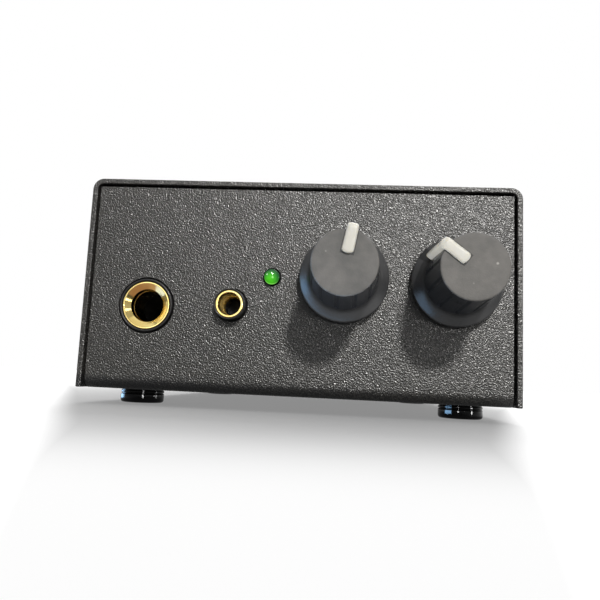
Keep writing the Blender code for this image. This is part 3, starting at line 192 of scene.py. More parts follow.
# %% Node helpers
def add(tree, kind, inputs=None, **settings):
    """Place one node; inputs gives a socket, by name or number, a value or another node's output."""
    node = tree.nodes.new(kind)
    for key, value in settings.items():
        setattr(node, key, value)
    for key, value in (inputs or {}).items():
        if isinstance(value, bpy.types.NodeSocket):
            tree.links.new(value, node.inputs[key])
        else:
            node.inputs[key].default_value = value
    return node


def calc(tree, operation, *values):
    """The output of one Math node over values or sockets."""
    return add(tree, "ShaderNodeMath", dict(enumerate(values)), operation=operation).outputs[0]


def remap(tree, value, low, high, to_low, to_high):
    """Carry a value from one range to another on an eased curve, held at both ends."""
    inputs = {0: value, 1: low, 2: high, 3: to_low, 4: to_high}
    return add(tree, "ShaderNodeMapRange", inputs, interpolation_type="SMOOTHSTEP").outputs[0]


def mixed(tree, share, first, second):
    """Two colours mixed by a share from 0 to 1."""
    node = add(tree, "ShaderNodeMix", {0: share, 6: first, 7: second}, data_type="RGBA")
    return node.outputs[2]


def feed(shader, socket, value):
    """Let a node's output drive one socket of a shader."""
    shader.id_data.links.new(value, shader.inputs[socket])


def new_group(name, inputs, outputs):
    """An empty shader group with named sockets: its tree, its input node and its output node."""
    tree = bpy.data.node_groups.new(name, "ShaderNodeTree")
    for label, kind in inputs:
        tree.interface.new_socket(label, in_out="INPUT", socket_type=kind)
    for label, kind in outputs:
        tree.interface.new_socket(label, in_out="OUTPUT", socket_type=kind)
    return tree, tree.nodes.new("NodeGroupInput"), tree.nodes.new("NodeGroupOutput")


# %% [markdown]
# Four effects turn up in more than one finish: the pebbled skin of a sprayed or moulded surface, a slow
# drift of tone over the whole part, specks of dust, and the fine rings that a lathe leaves. Each is one
# node group, fed with the place on the part, so that every finish can use it at its own scale.

# %% Shared effects
VALUE, VECTOR = "NodeSocketFloat", "NodeSocketVector"

pebbles, enter, leave = new_group(
    "pebbled_skin", [("Place", VECTOR), ("Per metre", VALUE)], [("Height", VALUE), ("Fleck", VALUE)])
coarse = add(pebbles, "ShaderNodeTexNoise", {
    "Vector": enter.outputs["Place"], "Scale": enter.outputs["Per metre"],
    "Detail": 1.5, "Roughness": 0.55})
finer = calc(pebbles, "MULTIPLY", enter.outputs["Per metre"], 1.7)
cells = add(pebbles, "ShaderNodeTexVoronoi", {
    "Vector": enter.outputs["Place"], "Scale": finer}, feature="SMOOTH_F1")
dome = calc(pebbles, "MULTIPLY", cells.outputs["Distance"], -0.8)
swell = calc(pebbles, "MULTIPLY", coarse.outputs["Fac"], 0.75)
pebbles.links.new(calc(pebbles, "ADD", swell, dome), leave.inputs["Height"])
pebbles.links.new(remap(pebbles, coarse.outputs["Fac"], 0.42, 0.64, 0.0, 1.0), leave.inputs["Fleck"])

drift, enter, leave = new_group("slow_drift", [("Place", VECTOR), ("Per metre", VALUE)], [("Share", VALUE)])
cloud = add(drift, "ShaderNodeTexNoise", {
    "Vector": enter.outputs["Place"], "Scale": enter.outputs["Per metre"], "Detail": 3.0})
drift.links.new(remap(drift, cloud.outputs["Fac"], 0.3, 0.7, 0.0, 1.0), leave.inputs["Share"])

dust, enter, leave = new_group(
    "dust_specks", [("Place", VECTOR), ("Per metre", VALUE), ("Amount", VALUE)], [("Mask", VALUE)])
motes = add(dust, "ShaderNodeTexVoronoi", {
    "Vector": enter.outputs["Place"], "Scale": enter.outputs["Per metre"]})
chance = add(dust, "ShaderNodeSeparateColor", {0: motes.outputs["Color"]}).outputs[0]
chosen = calc(dust, "LESS_THAN", chance, enter.outputs["Amount"])
speck = remap(dust, motes.outputs["Distance"], 0.06, 0.16, 1.0, 0.0)
dust.links.new(calc(dust, "MULTIPLY", speck, chosen), leave.inputs["Mask"])

lathe, enter, leave = new_group(
    "lathe_rings", [("Along", VALUE), ("Per metre", VALUE)], [("Height", VALUE)])
turns = add(lathe, "ShaderNodeTexNoise", {
    "W": enter.outputs["Along"], "Scale": enter.outputs["Per metre"], "Detail": 2.0}, noise_dimensions="1D")
lathe.links.new(turns.outputs["Fac"], leave.inputs["Height"])
print("groups:", [group.name for group in bpy.data.node_groups])


# %% [markdown]
# A finish starts the same way each time: a material, its Principled shader, and the place on the part in
# Object coordinates. Then it gets a base colour between two tones, a roughness between two values and a
# bump, all driven by the groups, and often some dust.

# %% Starting a finish
def start_finish(slot, **sockets):
    """A new material for a slot: its tree, its shader with constants set, and the place on the part."""
    material = bpy.data.materials.new(slot)
    material.use_nodes = True
    tree = material.node_tree
    shader = tree.nodes["Principled BSDF"]
    for label, value in sockets.items():
        shader.inputs[label.replace("_", " ")].default_value = value
    finishes[slot] = material
    print("finish:", slot)
    return tree, shader, add(tree, "ShaderNodeTexCoord").outputs["Object"]


def use(tree, group, **inputs):
    """Place a shared group with its inputs, whose labels are given with underscores for spaces."""
    named = {label.replace("_", " "): value for label, value in inputs.items()}
    return add(tree, "ShaderNodeGroup", named, node_tree=group)


def drifting(tree, place, per_metre):
    """The share, from 0 to 1, that the slow drift gives at each place."""
    return use(tree, drift, Place=place, Per_metre=per_metre).outputs["Share"]


def attribute(tree, label):
    """A value that the mesh keeps at its points."""
    return add(tree, "ShaderNodeAttribute", attribute_name=label).outputs["Fac"]


def dusted(tree, place, base, per_metre, amount, cover, colour):
    """A colour with specks of dust on it, which hide it by the share that cover gives."""
    motes = use(tree, dust, Place=place, Per_metre=per_metre, Amount=amount)
    return mixed(tree, calc(tree, "MULTIPLY", motes.outputs["Mask"], cover), base, colour)


def bump(tree, shader, height, depth, share):
    """Feed a height, in metres after depth, to the shader's normal."""
    node = add(tree, "ShaderNodeBump", {"Height": height, "Distance": depth, "Strength": share})
    feed(shader, "Normal", node.outputs["Normal"])


def tint(red, green, blue):
    """A colour with full alpha."""
    return (red, green, blue, 1.0)


# %% [markdown]
# The case wears a black powder coat: baked paint that dries into tiny pebbles, about half a millimetre
# apart, whose tops catch the lamp as bright grains. A bump alone would do for a still, but the grains
# also differ in gloss and tone, so the same pebbles drive the roughness and the colour. The lighter tone
# of the flecks is partly a painted glint, for their sparkle. A few specks of dust lie on the paint. Towards
# the lower bend the colour darkens to a bluish black, more on the left than on the right. This is painted
# shade, where the bend turns away from the light.

# %% Powder coat
SHADE_BEND_LOW = tray_low[2] + 0.6 * MM
SHADE_BEND_HIGH = tray_low[2] + 3.2 * MM
SHADE_LEFT_X = -40.0 * MM
SHADE_RIGHT_X = 46.0 * MM

tree, shader, place = start_finish("powder_coat", IOR=1.5, Specular_IOR_Level=1.0)
skin = use(tree, pebbles, Place=place, Per_metre=2300.0).outputs
# The flecks' lighter tone is partly a painted glint, standing for the sparkle of the pebbles' tops.
base = mixed(tree, skin["Fleck"], tint(0.014, 0.0135, 0.0124), tint(0.062, 0.0595, 0.0545))
tone = calc(tree, "MULTIPLY", drifting(tree, place, 60.0), 0.25)
base = mixed(tree, tone, base, tint(0.030, 0.0288, 0.0268))
base = dusted(tree, place, base, 620.0, 0.03, 0.4, tint(0.32, 0.31, 0.30))
# Painted shade: the lower bend darkens to a bluish black, by a share of 0.78 on the left down to 0.2 on the
# right.
spot = add(tree, "ShaderNodeSeparateXYZ", {0: place}).outputs
bend_shade_by_x = remap(tree, spot["X"], SHADE_LEFT_X, SHADE_RIGHT_X, 0.78, 0.20)
deep = remap(tree, spot["Z"], SHADE_BEND_LOW, SHADE_BEND_HIGH, bend_shade_by_x, 0.0)
base = mixed(tree, deep, base, tint(0.0052, 0.0058, 0.0078))
feed(shader, "Base Color", base)
feed(shader, "Roughness", remap(tree, skin["Fleck"], 0.0, 1.0, 0.38, 0.26))
bump(tree, shader, skin["Height"], 0.20 * MM, 0.8)

# %% [markdown]
# The tray is one folded sheet: front panel, floor and rear panel, with round holes for whatever comes
# through. Cutting holes with Booleans leaves ragged faces round them. Here each upright strip of a panel
# holds one hole, and its grid runs along rays from the hole to the strip's border. Neighbouring strips
# share their border points, so the strips merge into one sheet, which then gets its thickness.

# %% Holes and strips of the tray
SHEET = 1.1 * MM
BEND = 2.3 * MM
HOLE_GAP = 0.35 * MM
LED_GAP = 0.30 * MM


def axis_of(node):
    """The x and z of the axis that a part keeps through the panel."""
    middle = span(node)[2]
    return middle[0], middle[2]


def half_wide(node):
    """Half the width of a solid's box across x, which is the radius of a turned part."""
    low, high, _ = span(node)
    return (high[0] - low[0]) / 2


PHONE_NOSE = 10.8 * MM / 2
MINI_NOSE = 6.2 * MM / 2
COLLAR_RADIUS = 10.0 * MM / 2
INLET_NOSE = 8.8 * MM / 2
LED_RADIUS = 3.1 * MM / 2
PHONE_AXIS = axis_of("phone_jack_bush")
MINI_AXIS = axis_of("mini_jack_bush")
LED_AXIS = axis_of("power_led")
LEFT_AXIS, RIGHT_AXIS = axis_of("left_pot_bushing"), axis_of("right_pot_bushing")
PHONO_AXES = axis_of("phono_shell_right"), axis_of("phono_shell_left")
INLET_AXIS = axis_of("supply_inlet_pin")

front_holes = [
    (PHONE_AXIS, PHONE_NOSE + HOLE_GAP),
    (MINI_AXIS, MINI_NOSE + HOLE_GAP),
    (LED_AXIS, LED_RADIUS + LED_GAP),
    (LEFT_AXIS, half_wide("left_pot_bushing") + HOLE_GAP),
    (RIGHT_AXIS, half_wide("right_pot_bushing") + HOLE_GAP),
]
rear_holes = [
    (PHONO_AXES[0], COLLAR_RADIUS + HOLE_GAP),
    (PHONO_AXES[1], COLLAR_RADIUS + HOLE_GAP),
    (INLET_AXIS, INLET_NOSE + HOLE_GAP),
]


def strip_borders(holes):
    """Upright borders of the strips: the panel's ends, and between two holes the middle of their gap."""
    centre = np.array([hole[0][0] for hole in holes])
    radius = np.array([hole[1] for hole in holes])
    between = ((centre + radius)[:-1] + (centre - radius)[1:]) / 2
    return np.round(np.concatenate([[tray_low[0]], between, [tray_high[0]]]), 7)


print("front strips end at", np.round(strip_borders(front_holes) / MM, 1), "mm")

# %% [markdown]
# Floor and bends are straight across the case: a line of points in the side view, repeated at every
# column. The columns hold the borders of all strips, so panel, bend and floor meet point to point. A
# flange turns up along each side, with a relief slot at its ends, as a folded sheet needs. Paint gathers
# at a fold, so the underside lies 0.3 mm below that of the solid.

# %% Strips and straight sheets
UNDER_DROP = 0.3 * MM
UNDER_Z = tray_low[2] - UNDER_DROP
NOTCH_X = tray_high[0] - BEND - SHEET
SAMPLE = 0.65 * MM
FLOOR_SAMPLE = 3.0 * MM
RAY_STEPS = 11
RAY_POWER = 1.6


def sampled(borders, step):
    """Points along a line that include every border and lie no further apart than step."""
    runs = [np.linspace(a, b, max(2, int(np.ceil((b - a) / step)) + 1))[:-1]
            for a, b in zip(borders[:-1], borders[1:])]
    return np.concatenate(runs + [borders[-1:]])


columns = sampled(np.unique(np.round(np.concatenate([
    strip_borders(front_holes), strip_borders(rear_holes), [-NOTCH_X, NOTCH_X]]), 7)), SAMPLE)
inner_columns = columns[np.abs(columns) < NOTCH_X + SAME_POINT]
bend_z = UNDER_Z + BEND
upright = sampled(np.array([bend_z, tray_high[2]]), SAMPLE)


def pierced_strip(left, right, hole, y):
    """A panel strip with a hole: a point lies on the ray from the hole's rim to the border, at share v."""
    centre, radius = np.array(hole[0]), hole[1]
    base = columns[(columns > left - SAME_POINT) & (columns < right + SAME_POINT)]
    border = np.concatenate([
        laid(base, upright[0])[:-1], laid(base[-1], upright)[:-1],
        laid(base[::-1], upright[-1])[:-1], laid(base[0], upright[::-1])[:-1]])
    ray = border - centre
    rim = radius * ray / np.linalg.norm(ray, axis=1, keepdims=True)
    share = (np.linspace(0.0, 1.0, RAY_STEPS) ** RAY_POWER)[:, None, None]
    flat = centre + rim * (1 - share) + ray * share
    return laid(flat[..., 0], y, flat[..., 1])


def ruled(line_yz, across):
    """A sheet straight across x: a line of (y, z) points repeated at each column's x."""
    return laid(across[None, :], line_yz[:, :1], line_yz[:, 1:])


def drawn_back(line_xz, depth):
    """A sheet straight along y: a line of (x, z) points repeated at each depth."""
    return laid(line_xz[:, :1], depth[None, :], line_xz[:, 1:])


# %% The tray's sheet
FLANGE_HEIGHT = 9.0 * MM
FLANGE_SETBACK = 9.0 * MM
RELIEF = 1.6 * MM

quarter = np.linspace(0.0, np.pi / 2, 11)
front_bend = laid(PANEL_Y + BEND - BEND * np.cos(quarter), bend_z - BEND * np.sin(quarter))
rear_bend = laid(REAR_Y - BEND + BEND * np.cos(quarter), bend_z - BEND * np.sin(quarter))
flange_ends = np.array([tray_low[1] + FLANGE_SETBACK, tray_high[1] - FLANGE_SETBACK])
floor_ends = [PANEL_Y + BEND, flange_ends[0] - RELIEF, *flange_ends, flange_ends[1] + RELIEF, REAR_Y - BEND]
floor_columns = [columns, inner_columns, inner_columns, inner_columns, columns]
turn_up = np.concatenate([
    [[NOTCH_X, UNDER_Z]],
    laid(tray_high[0] - BEND + BEND * np.sin(quarter), bend_z - BEND * np.cos(quarter)),
    [[tray_high[0], tray_low[2] + FLANGE_HEIGHT]]])
flange = drawn_back(turn_up, sampled(flange_ends, FLOOR_SAMPLE))

patches = []
for holes, y in ((front_holes, PANEL_Y), (rear_holes, REAR_Y)):
    borders = strip_borders(holes)
    for left, right, hole in zip(borders[:-1], borders[1:], holes):
        patches.append((pierced_strip(left, right, hole, y), True))
patches += [(ruled(front_bend, columns), False), (ruled(rear_bend, columns), False)]
for near, far, across in zip(floor_ends[:-1], floor_ends[1:], floor_columns):
    depth = sampled(np.array([near, far]), FLOOR_SAMPLE)
    patches.append((ruled(laid(depth, UNDER_Z), across), False))
patches += [(flange, False), (flange * [-1.0, 1.0, 1.0], False)]
tray = make_piece("tray_sheet", patches, inside=tray_middle)


# %% [markdown]
# So far the tray is a surface. A Solidify modifier gives it the thickness of the steel, inwards, and a
# Bevel rounds its cut edges, as thick paint does. The cover takes the same two.

# %% Thickness and edges
def sheet_metal(piece, edge_radius):
    """Two modifiers: a wall inwards from the outer surface, and round edges where faces meet sharply."""
    wall = piece.modifiers.new("sheet", "SOLIDIFY")
    wall.thickness = SHEET
    wall.offset = -1.0
    wall.use_even_offset = True
    edge = piece.modifiers.new("broken_edge", "BEVEL")
    edge.width = edge_radius
    edge.segments = 3
    edge.limit_method = "ANGLE"
    edge.angle_limit = np.radians(50)
    edge.harden_normals = True


sheet_metal(tray, 0.28 * MM)
settle(tray, "case", "powder_coat", "chassis_tray")

# %% [markdown]
# The cover is the simplest fold: up one side, over the top, down the other, all with the same bend. Its
# front edge stands a little ahead of the panel and shows as a bright line round it. One profile across
# the case, carried straight back, makes it. Its lower edges come down by the same 0.3 mm.

# %% The cover's sheet
bend_top = cover_high[2] - BEND
right_profile = np.concatenate([
    laid(cover_high[0], np.linspace(cover_low[2] - UNDER_DROP, bend_top, 25)),
    laid(cover_high[0] - BEND + BEND * np.cos(quarter), bend_top + BEND * np.sin(quarter))[1:]])
top_run = np.linspace(cover_high[0] - BEND, -(cover_high[0] - BEND), 41)[1:-1]
cover_profile = np.concatenate([
    right_profile, laid(top_run, cover_high[2]), right_profile[::-1] * [-1.0, 1.0]])
sheet = drawn_back(cover_profile, np.linspace(cover_low[1], cover_high[1], 33))
cover = make_piece("cover_sheet", [(sheet, False)], inside=cover_middle - [0.0, 0.0, 10.0 * MM])
sheet_metal(cover, 0.22 * MM)
settle(cover, "case", "powder_coat", "top_cover")


# %% [markdown]
# Most of the rest is turned on a lathe or moulded round. A profile is a list of corners with an easing
# each: the corner is cut short on both sides and bridged by a parabola, which is what a small radius
# looks like. The profile is then carried round the axis.

# %% Turned forms
OUT = (0.0, -1.0, 0.0)
BACK = (0.0, 1.0, 0.0)
UP = (0.0, 0.0, 1.0)


def eased(corners, steps=6):
    """Corners (radius, height, ease) rounded: a parabola from ease before each corner to ease after it."""
    corners = np.array(corners, float)
    corner, ease = corners[:, :2], corners[:, 2]
    ahead = np.diff(corner, axis=0)
    length = np.maximum(np.linalg.norm(ahead, axis=1), 1e-9)
    ahead = ahead / length[:, None]
    reach = np.minimum(ease[1:-1], 0.5 * np.minimum(length[:-1], length[1:]))[:, None, None]
    start = corner[1:-1, None] - reach * ahead[:-1, None]
    end = corner[1:-1, None] + reach * ahead[1:, None]
    t = np.linspace(0.0, 1.0, steps)[None, :, None]
    rounded = (1 - t) ** 2 * start + 2 * t * (1 - t) * corner[1:-1, None] + t ** 2 * end
    return np.concatenate([corner[:1], rounded.reshape(-1, 2), corner[-1:]])


def turned(profile, foot, axis, steps=128):
    """Carry (radius, height) round an axis: foot + height x axis + radius x (cos a x side + sin a x up)."""
    axis = np.array(axis, float)
    side = np.cross(axis, [0.0, 0.0, 1.0]) if abs(axis[2]) < 0.5 else np.array([1.0, 0.0, 0.0])
    up = np.cross(axis, side)
    angle = np.linspace(0.0, 2 * np.pi, steps, endpoint=False)[:, None]
    ring = np.cos(angle) * side + np.sin(angle) * up
    return np.array(foot) + profile[:, 0, None, None] * ring + profile[:, 1, None, None] * axis


# %% [markdown]
# The case stands on four rubber feet. Each has a thin top lip, a narrow bead below it and a full round
# body with a soft bottom edge. Rubber is black, smooth from its mould and faintly bloomed.

# %% Rubber
tree, shader, place = start_finish("rubber", IOR=1.5, Specular_IOR_Level=0.3)
skin = use(tree, pebbles, Place=place, Per_metre=2600.0).outputs
bloom = drifting(tree, place, 220.0)
base = mixed(tree, bloom, tint(0.004, 0.004, 0.005), tint(0.010, 0.010, 0.012))
feed(shader, "Base Color", dusted(tree, place, base, 700.0, 0.05, 0.35, tint(0.35, 0.35, 0.36)))
feed(shader, "Roughness", remap(tree, bloom, 0.0, 1.0, 0.06, 0.12))
bump(tree, shader, skin["Height"], 0.02 * MM, 0.35)

# %% Feet
FOOT_LIP = 5.15 * MM
FOOT_BODY = 4.75 * MM
FOOT_WAIST = 4.55 * MM
FOOT_TALL = 3.2 * MM
STEM_RADIUS = 2.0 * MM
for end in ("front", "rear"):
    for hand in ("left", "right"):
        node = "foot_%s_%s" % (end, hand)
        low, high, middle = span(node)
        foot_profile = eased([
            (0.0, high[2], 0.0), (STEM_RADIUS, high[2], 0.3 * MM), (STEM_RADIUS, FOOT_TALL, 0.0),
            (FOOT_LIP - 0.1 * MM, FOOT_TALL, 0.1 * MM), (FOOT_LIP, 3.02 * MM, 0.1 * MM),
            (FOOT_LIP - 0.12 * MM, 2.90 * MM, 0.1 * MM), (FOOT_WAIST, 2.80 * MM, 0.06 * MM),
            (FOOT_WAIST, 2.66 * MM, 0.06 * MM), (FOOT_BODY, 2.56 * MM, 0.08 * MM),
            (FOOT_BODY, 2.24 * MM, 0.08 * MM), (FOOT_WAIST, 2.14 * MM, 0.06 * MM),
            (FOOT_WAIST, 2.00 * MM, 0.06 * MM), (FOOT_BODY, 1.86 * MM, 0.12 * MM),
            (FOOT_BODY, 0.0, 0.75 * MM), (0.0, 0.0, 0.0)], steps=8)
        foot_grid = turned(foot_profile, (middle[0], middle[1], low[2]), UP)
        settle(make_piece("rubber_" + node, [(foot_grid, True)], sharp=60), "case", "rubber", node)

# %% [markdown]
# The cover is held by four pan-head screws, two to a side, in blackened steel with a cross recess. The
# head is a dome over a polar grid, and the recess is a height taken off it: deep where a point lies
# within an arm of the cross, nothing outside, with a short slope between.

# %% Blackened steel
def rubbed_finish(slot, first, second, first_rough, second_rough, patch, depth, share, **sockets):
    """Metal that handling has rubbed: two tones and two glosses that drift together, over a fine grain."""
    tree, shader, place = start_finish(slot, **sockets)
    skin = use(tree, pebbles, Place=place, Per_metre=5200.0).outputs
    rub = drifting(tree, place, patch)
    feed(shader, "Base Color", mixed(tree, rub, first, second))
    feed(shader, "Roughness", remap(tree, rub, 0.0, 1.0, first_rough, second_rough))
    bump(tree, shader, skin["Height"], depth, share)


rubbed_finish("black_steel", tint(0.018, 0.018, 0.019), tint(0.055, 0.053, 0.05), 0.45, 0.26,
              900.0, 0.02 * MM, 0.4, IOR=1.6)

# %% Cover screws
HEAD_RADIUS = 2.8 * MM
HEAD_HEIGHT = 1.8 * MM
SHANK_RADIUS = 1.45 * MM
CROSS_DEPTH = 1.15 * MM
CROSS_REACH = 1.55 * MM
CROSS_ARM = 0.42 * MM
ARM_SLOPE = 0.16 * MM
END_SLOPE = 0.4 * MM


def ramp(value, width):
    """0 below nothing, 1 above width, an eased slope between."""
    t = np.clip(value / width, 0.0, 1.0)
    return t * t * (3 - 2 * t)


def screw_grid(foot, axis, reach):
    """A dome (radius sin p, height cos p) less a cross recess, then the head's side and its shank."""
    rise = np.linspace(0.0, np.radians(74), 56)
    dome = laid(HEAD_RADIUS * np.sin(rise), HEAD_HEIGHT * np.cos(rise))
    side = eased([(*dome[-1], 0.0), (HEAD_RADIUS, 0.25 * MM, 0.15 * MM), (HEAD_RADIUS, 0.0, 0.05 * MM),
                  (SHANK_RADIUS, 0.0, 0.0), (SHANK_RADIUS, -reach, 0.2 * MM), (0.0, -reach, 0.0)])
    grid = turned(np.concatenate([dome, side[1:]]), foot, axis, steps=144)
    offset = grid[:rise.size] - np.array(foot)
    u, v = np.abs(offset[..., 1]), np.abs(offset[..., 2])
    arm = np.maximum(
        ramp(CROSS_ARM - u, ARM_SLOPE) * ramp(CROSS_REACH - v, END_SLOPE),
        ramp(CROSS_ARM - v, ARM_SLOPE) * ramp(CROSS_REACH - u, END_SLOPE))
    grid[:rise.size] -= (CROSS_DEPTH * arm)[..., None] * np.array(axis, float)
    return grid


for end in ("front", "rear"):
    for hand, sign in (("left", -1.0), ("right", 1.0)):
        node = "cover_screw_%s_%s" % (end, hand)
        low, high, middle = span(node)
        tip = low[0] if sign < 0 else high[0]
        foot = (tip - sign * HEAD_HEIGHT, middle[1], middle[2])
        reach = high[0] - low[0] - HEAD_HEIGHT
        screw = make_piece("dressed_" + node, [(screw_grid(foot, (sign, 0.0, 0.0), reach), True)])
        settle(screw, "case", "black_steel", node)

# %% [markdown]
# Both sockets have a moulded black housing whose round nose fills the hole in the panel. Behind the panel
# it is a box. One surface can be both: going outwards from the axis, each station is either a circle or
# a share of the box's outline, so the bore, the nose, the box and its back make one closed skin.

# %% Moulded plastic
def moulded_finish(slot, dark, light, gloss, matt, grain, depth, mote=0.0):
    """Plastic from a mould: two near tones by drift, a fine grain as bump, and a few specks of dust."""
    tree, shader, place = start_finish(slot, IOR=1.5)
    skin = use(tree, pebbles, Place=place, Per_metre=grain).outputs
    base = mixed(tree, drifting(tree, place, 180.0), dark, light)
    feed(shader, "Base Color", dusted(tree, place, base, 420.0, mote, 0.55, tint(0.5, 0.48, 0.45)))
    feed(shader, "Roughness", remap(tree, skin["Fleck"], 0.0, 1.0, matt, gloss))
    bump(tree, shader, skin["Height"], depth, 0.5)
    return shader


moulded_finish("black_plastic", tint(0.016, 0.016, 0.017), tint(0.030, 0.029, 0.029),
               0.28, 0.42, 3600.0, 0.03 * MM, 0.03)

# %% Socket housings
WALL_GAP = 0.3 * MM
THROAT = 3.0 * MM
BOX_EDGE = 0.3 * MM


def moulded(stations, box, axis_xz, steps=160):
    """Stations (radius, share, y): a circle of that radius, or where share > 0 that share of the box.

    The box's outline in direction a is the nearer of half-width over cos a and half-height over sin a.
    """
    angle = np.linspace(0.0, 2 * np.pi, steps, endpoint=False) + 1e-4
    low, high = box
    half_width = np.where(np.cos(angle) > 0, high[0] - axis_xz[0], axis_xz[0] - low[0])
    half_height = np.where(np.sin(angle) > 0, high[2] - axis_xz[1], axis_xz[1] - low[2])
    outline = np.minimum(half_width / np.abs(np.cos(angle)), half_height / np.abs(np.sin(angle)))
    radius, share, y = np.array(stations, float).T[..., None]
    reach = np.where(share > 0, share * outline, radius)
    return laid(axis_xz[0] + reach * np.cos(angle), y, axis_xz[1] + reach * np.sin(angle))


def socket_housing(name, node, axis_xz, nose, bore, lip, chamber, chamber_depth, wall_y, sign):
    """Bore from its floor outwards, round nose, then the box behind the panel; sign is -1 at the front."""
    low, high, _ = span(node)
    front, back = (low[1], high[1]) if sign < 0 else (high[1], low[1])
    mouth = eased([
        (0.0, chamber_depth, 0.0), (chamber, chamber_depth, 0.0), (chamber, THROAT, 0.0),
        (bore, THROAT, 0.0), (bore, 0.0, lip), (nose, 0.0, lip), (nose, abs(wall_y - front), 0.0)])
    stations = [(radius, 0.0, front - sign * deep) for radius, deep in mouth]
    stations += [(0.0, 0.9, wall_y), (0.0, 1.0, wall_y - sign * BOX_EDGE),
                 (0.0, 1.0, back + sign * BOX_EDGE), (0.0, 0.96, back), (0.0, 0.0, back)]
    piece = make_piece(name, [(moulded(stations, (low, high), axis_xz), True)])
    settle(piece, "case", "black_plastic", node)


inner_wall = PANEL_Y + SHEET + WALL_GAP
socket_housing("phone_socket_body", "phone_jack_housing", PHONE_AXIS, PHONE_NOSE,
               4.95 * MM, 0.3 * MM, 4.05 * MM, 24.0 * MM, inner_wall, -1.0)
socket_housing("mini_socket_body", "mini_jack_housing", MINI_AXIS, MINI_NOSE,
               2.82 * MM, 0.2 * MM, 2.5 * MM, 12.5 * MM, inner_wall, -1.0)

# %% [markdown]
# The plug goes into a turned brass bush: a cone that leads it in, a bright lip round the cone and a
# straight bore. Metal is mostly what it reflects, so the finish is simple, but the lathe's fine rings
# and a little tarnish break the reflections up, and they follow the profile, not the room. Inside the small
# bush the wall is duller. An attribute of the mesh says where, and makes it less of a mirror there.

# %% Brass
def turned_finish(slot, bright, dull, polish, worn, ring):
    """Turned metal: bright and tarnished tones by drift, and rings along the profile as a bump."""
    tree, shader, place = start_finish(slot, Metallic=1.0)
    tarnish = drifting(tree, place, 330.0)
    feed(shader, "Base Color", mixed(tree, tarnish, bright, dull))
    feed(shader, "Roughness", remap(tree, tarnish, 0.0, 1.0, polish, worn))
    rings = use(tree, lathe, Along=attribute(tree, "along"), Per_metre=ring)
    bump(tree, shader, rings.outputs["Height"], 0.02 * MM, 0.6)
    return tree, shader


tree, shader = turned_finish("brass", tint(0.95, 0.77, 0.31), tint(0.82, 0.60, 0.20), 0.07, 0.14, 5200.0)
feed(shader, "Metallic", remap(tree, attribute(tree, "dull_wall"), 0.0, 1.0, 1.0, 0.35))

# %% Brass bushes
BORE_STEP = 0.10 * MM
STEP_EASE = 0.06 * MM
BUSH_STEPS = 192


def bush(name, node, axis_xz, flange, flange_deep, barrel, bore, mouth, mouth_deep, step, dull):
    """A ring: bore with a shallow step, lead-in cone, rounded lip, flange and barrel, closed on itself."""
    low, high, _ = span(node)
    length = high[1] - low[1]
    relief = bore + BORE_STEP
    ease = 0.26 * (flange - mouth)
    profile = eased([
        (bore, -length, 0.0), (bore, -step - BORE_STEP, STEP_EASE), (relief, -step, STEP_EASE),
        (relief, -mouth_deep, STEP_EASE), (mouth, 0.0, ease), (flange, 0.0, ease),
        (flange, -flange_deep, 0.0), (barrel, -flange_deep, 0.0), (barrel, -length, 0.0),
        (bore, -length, 0.0)], steps=8)
    grid = turned(profile, (axis_xz[0], low[1], axis_xz[1]), OUT, steps=BUSH_STEPS)
    inner = dull * ramp(-profile[:, 1] - 0.10 * MM, 0.3 * MM) * (profile[:, 0] < mouth)
    piece = make_piece(name, [(grid, True)], marks={"dull_wall": np.repeat(inner, BUSH_STEPS)})
    settle(piece, "case", "brass", node)
    return piece


phone_bush = bush("phone_socket_bush", "phone_jack_bush", PHONE_AXIS, 4.8 * MM, 2.0 * MM, 4.0 * MM,
                  3.25 * MM, 4.5 * MM, 0.85 * MM, 2.60 * MM, 0.0)
mini_bush = bush("mini_socket_bush", "mini_jack_bush", MINI_AXIS, 2.75 * MM, 1.0 * MM, 2.45 * MM,
                 1.95 * MM, 2.28 * MM, 3.6 * MM, 4.0 * MM, 1.0)

# %% [markdown]
# The pilot light is a 3 mm green LED, lit. Its lens is a clear green dome: low down, where the chip
# shines into it, it glows a yellow green, and towards the top it falls back to deep green. A pale spot
# beside the axis and a thin bright rim are painted highlights in the emission, standing for the image of
# the chip and for light that the lens gathers. A truly clear lens would take many light paths, so all
# this is emission that changes over it, under a glossy skin.

# %% Lit green lens
LENS_FRONT = span("power_led")[0][1]


def distance_from(tree, place, east, up):
    """How far a point of the lens lies from a spot beside its axis, seen from the front."""
    spot = (LED_AXIS[0] + east, 0.0, LED_AXIS[1] + up)
    flat = add(tree, "ShaderNodeVectorMath", {0: place, 1: (1.0, 0.0, 1.0)}, operation="MULTIPLY")
    apart = add(tree, "ShaderNodeVectorMath", {0: flat.outputs[0], 1: spot}, operation="DISTANCE")
    return apart.outputs["Value"]


tree, shader, place = start_finish("led_green", Roughness=0.025, IOR=1.55, Emission_Strength=1.0)
glow = remap(tree, distance_from(tree, place, -0.15 * MM, -0.75 * MM), 0.2 * MM, 2.1 * MM, 1.0, 0.0)
glow = calc(tree, "MULTIPLY", glow, remap(tree, drifting(tree, place, 900.0), 0.0, 1.0, 0.8, 1.0))
body_tone = mixed(tree, glow, tint(0.010, 0.050, 0.016), tint(0.030, 0.160, 0.020))
glow_and_painted_highlights = mixed(tree, glow, tint(0.008, 0.060, 0.016), tint(0.065, 0.560, 0.008))
# Painted highlight: a pale spot beside the axis, for the image of the chip.
chip = remap(tree, distance_from(tree, place, 0.34 * MM, -0.32 * MM), 0.05 * MM, 0.32 * MM, 0.8, 0.0)
glow_and_painted_highlights = mixed(tree, chip, glow_and_painted_highlights, tint(0.42, 0.95, 0.30))
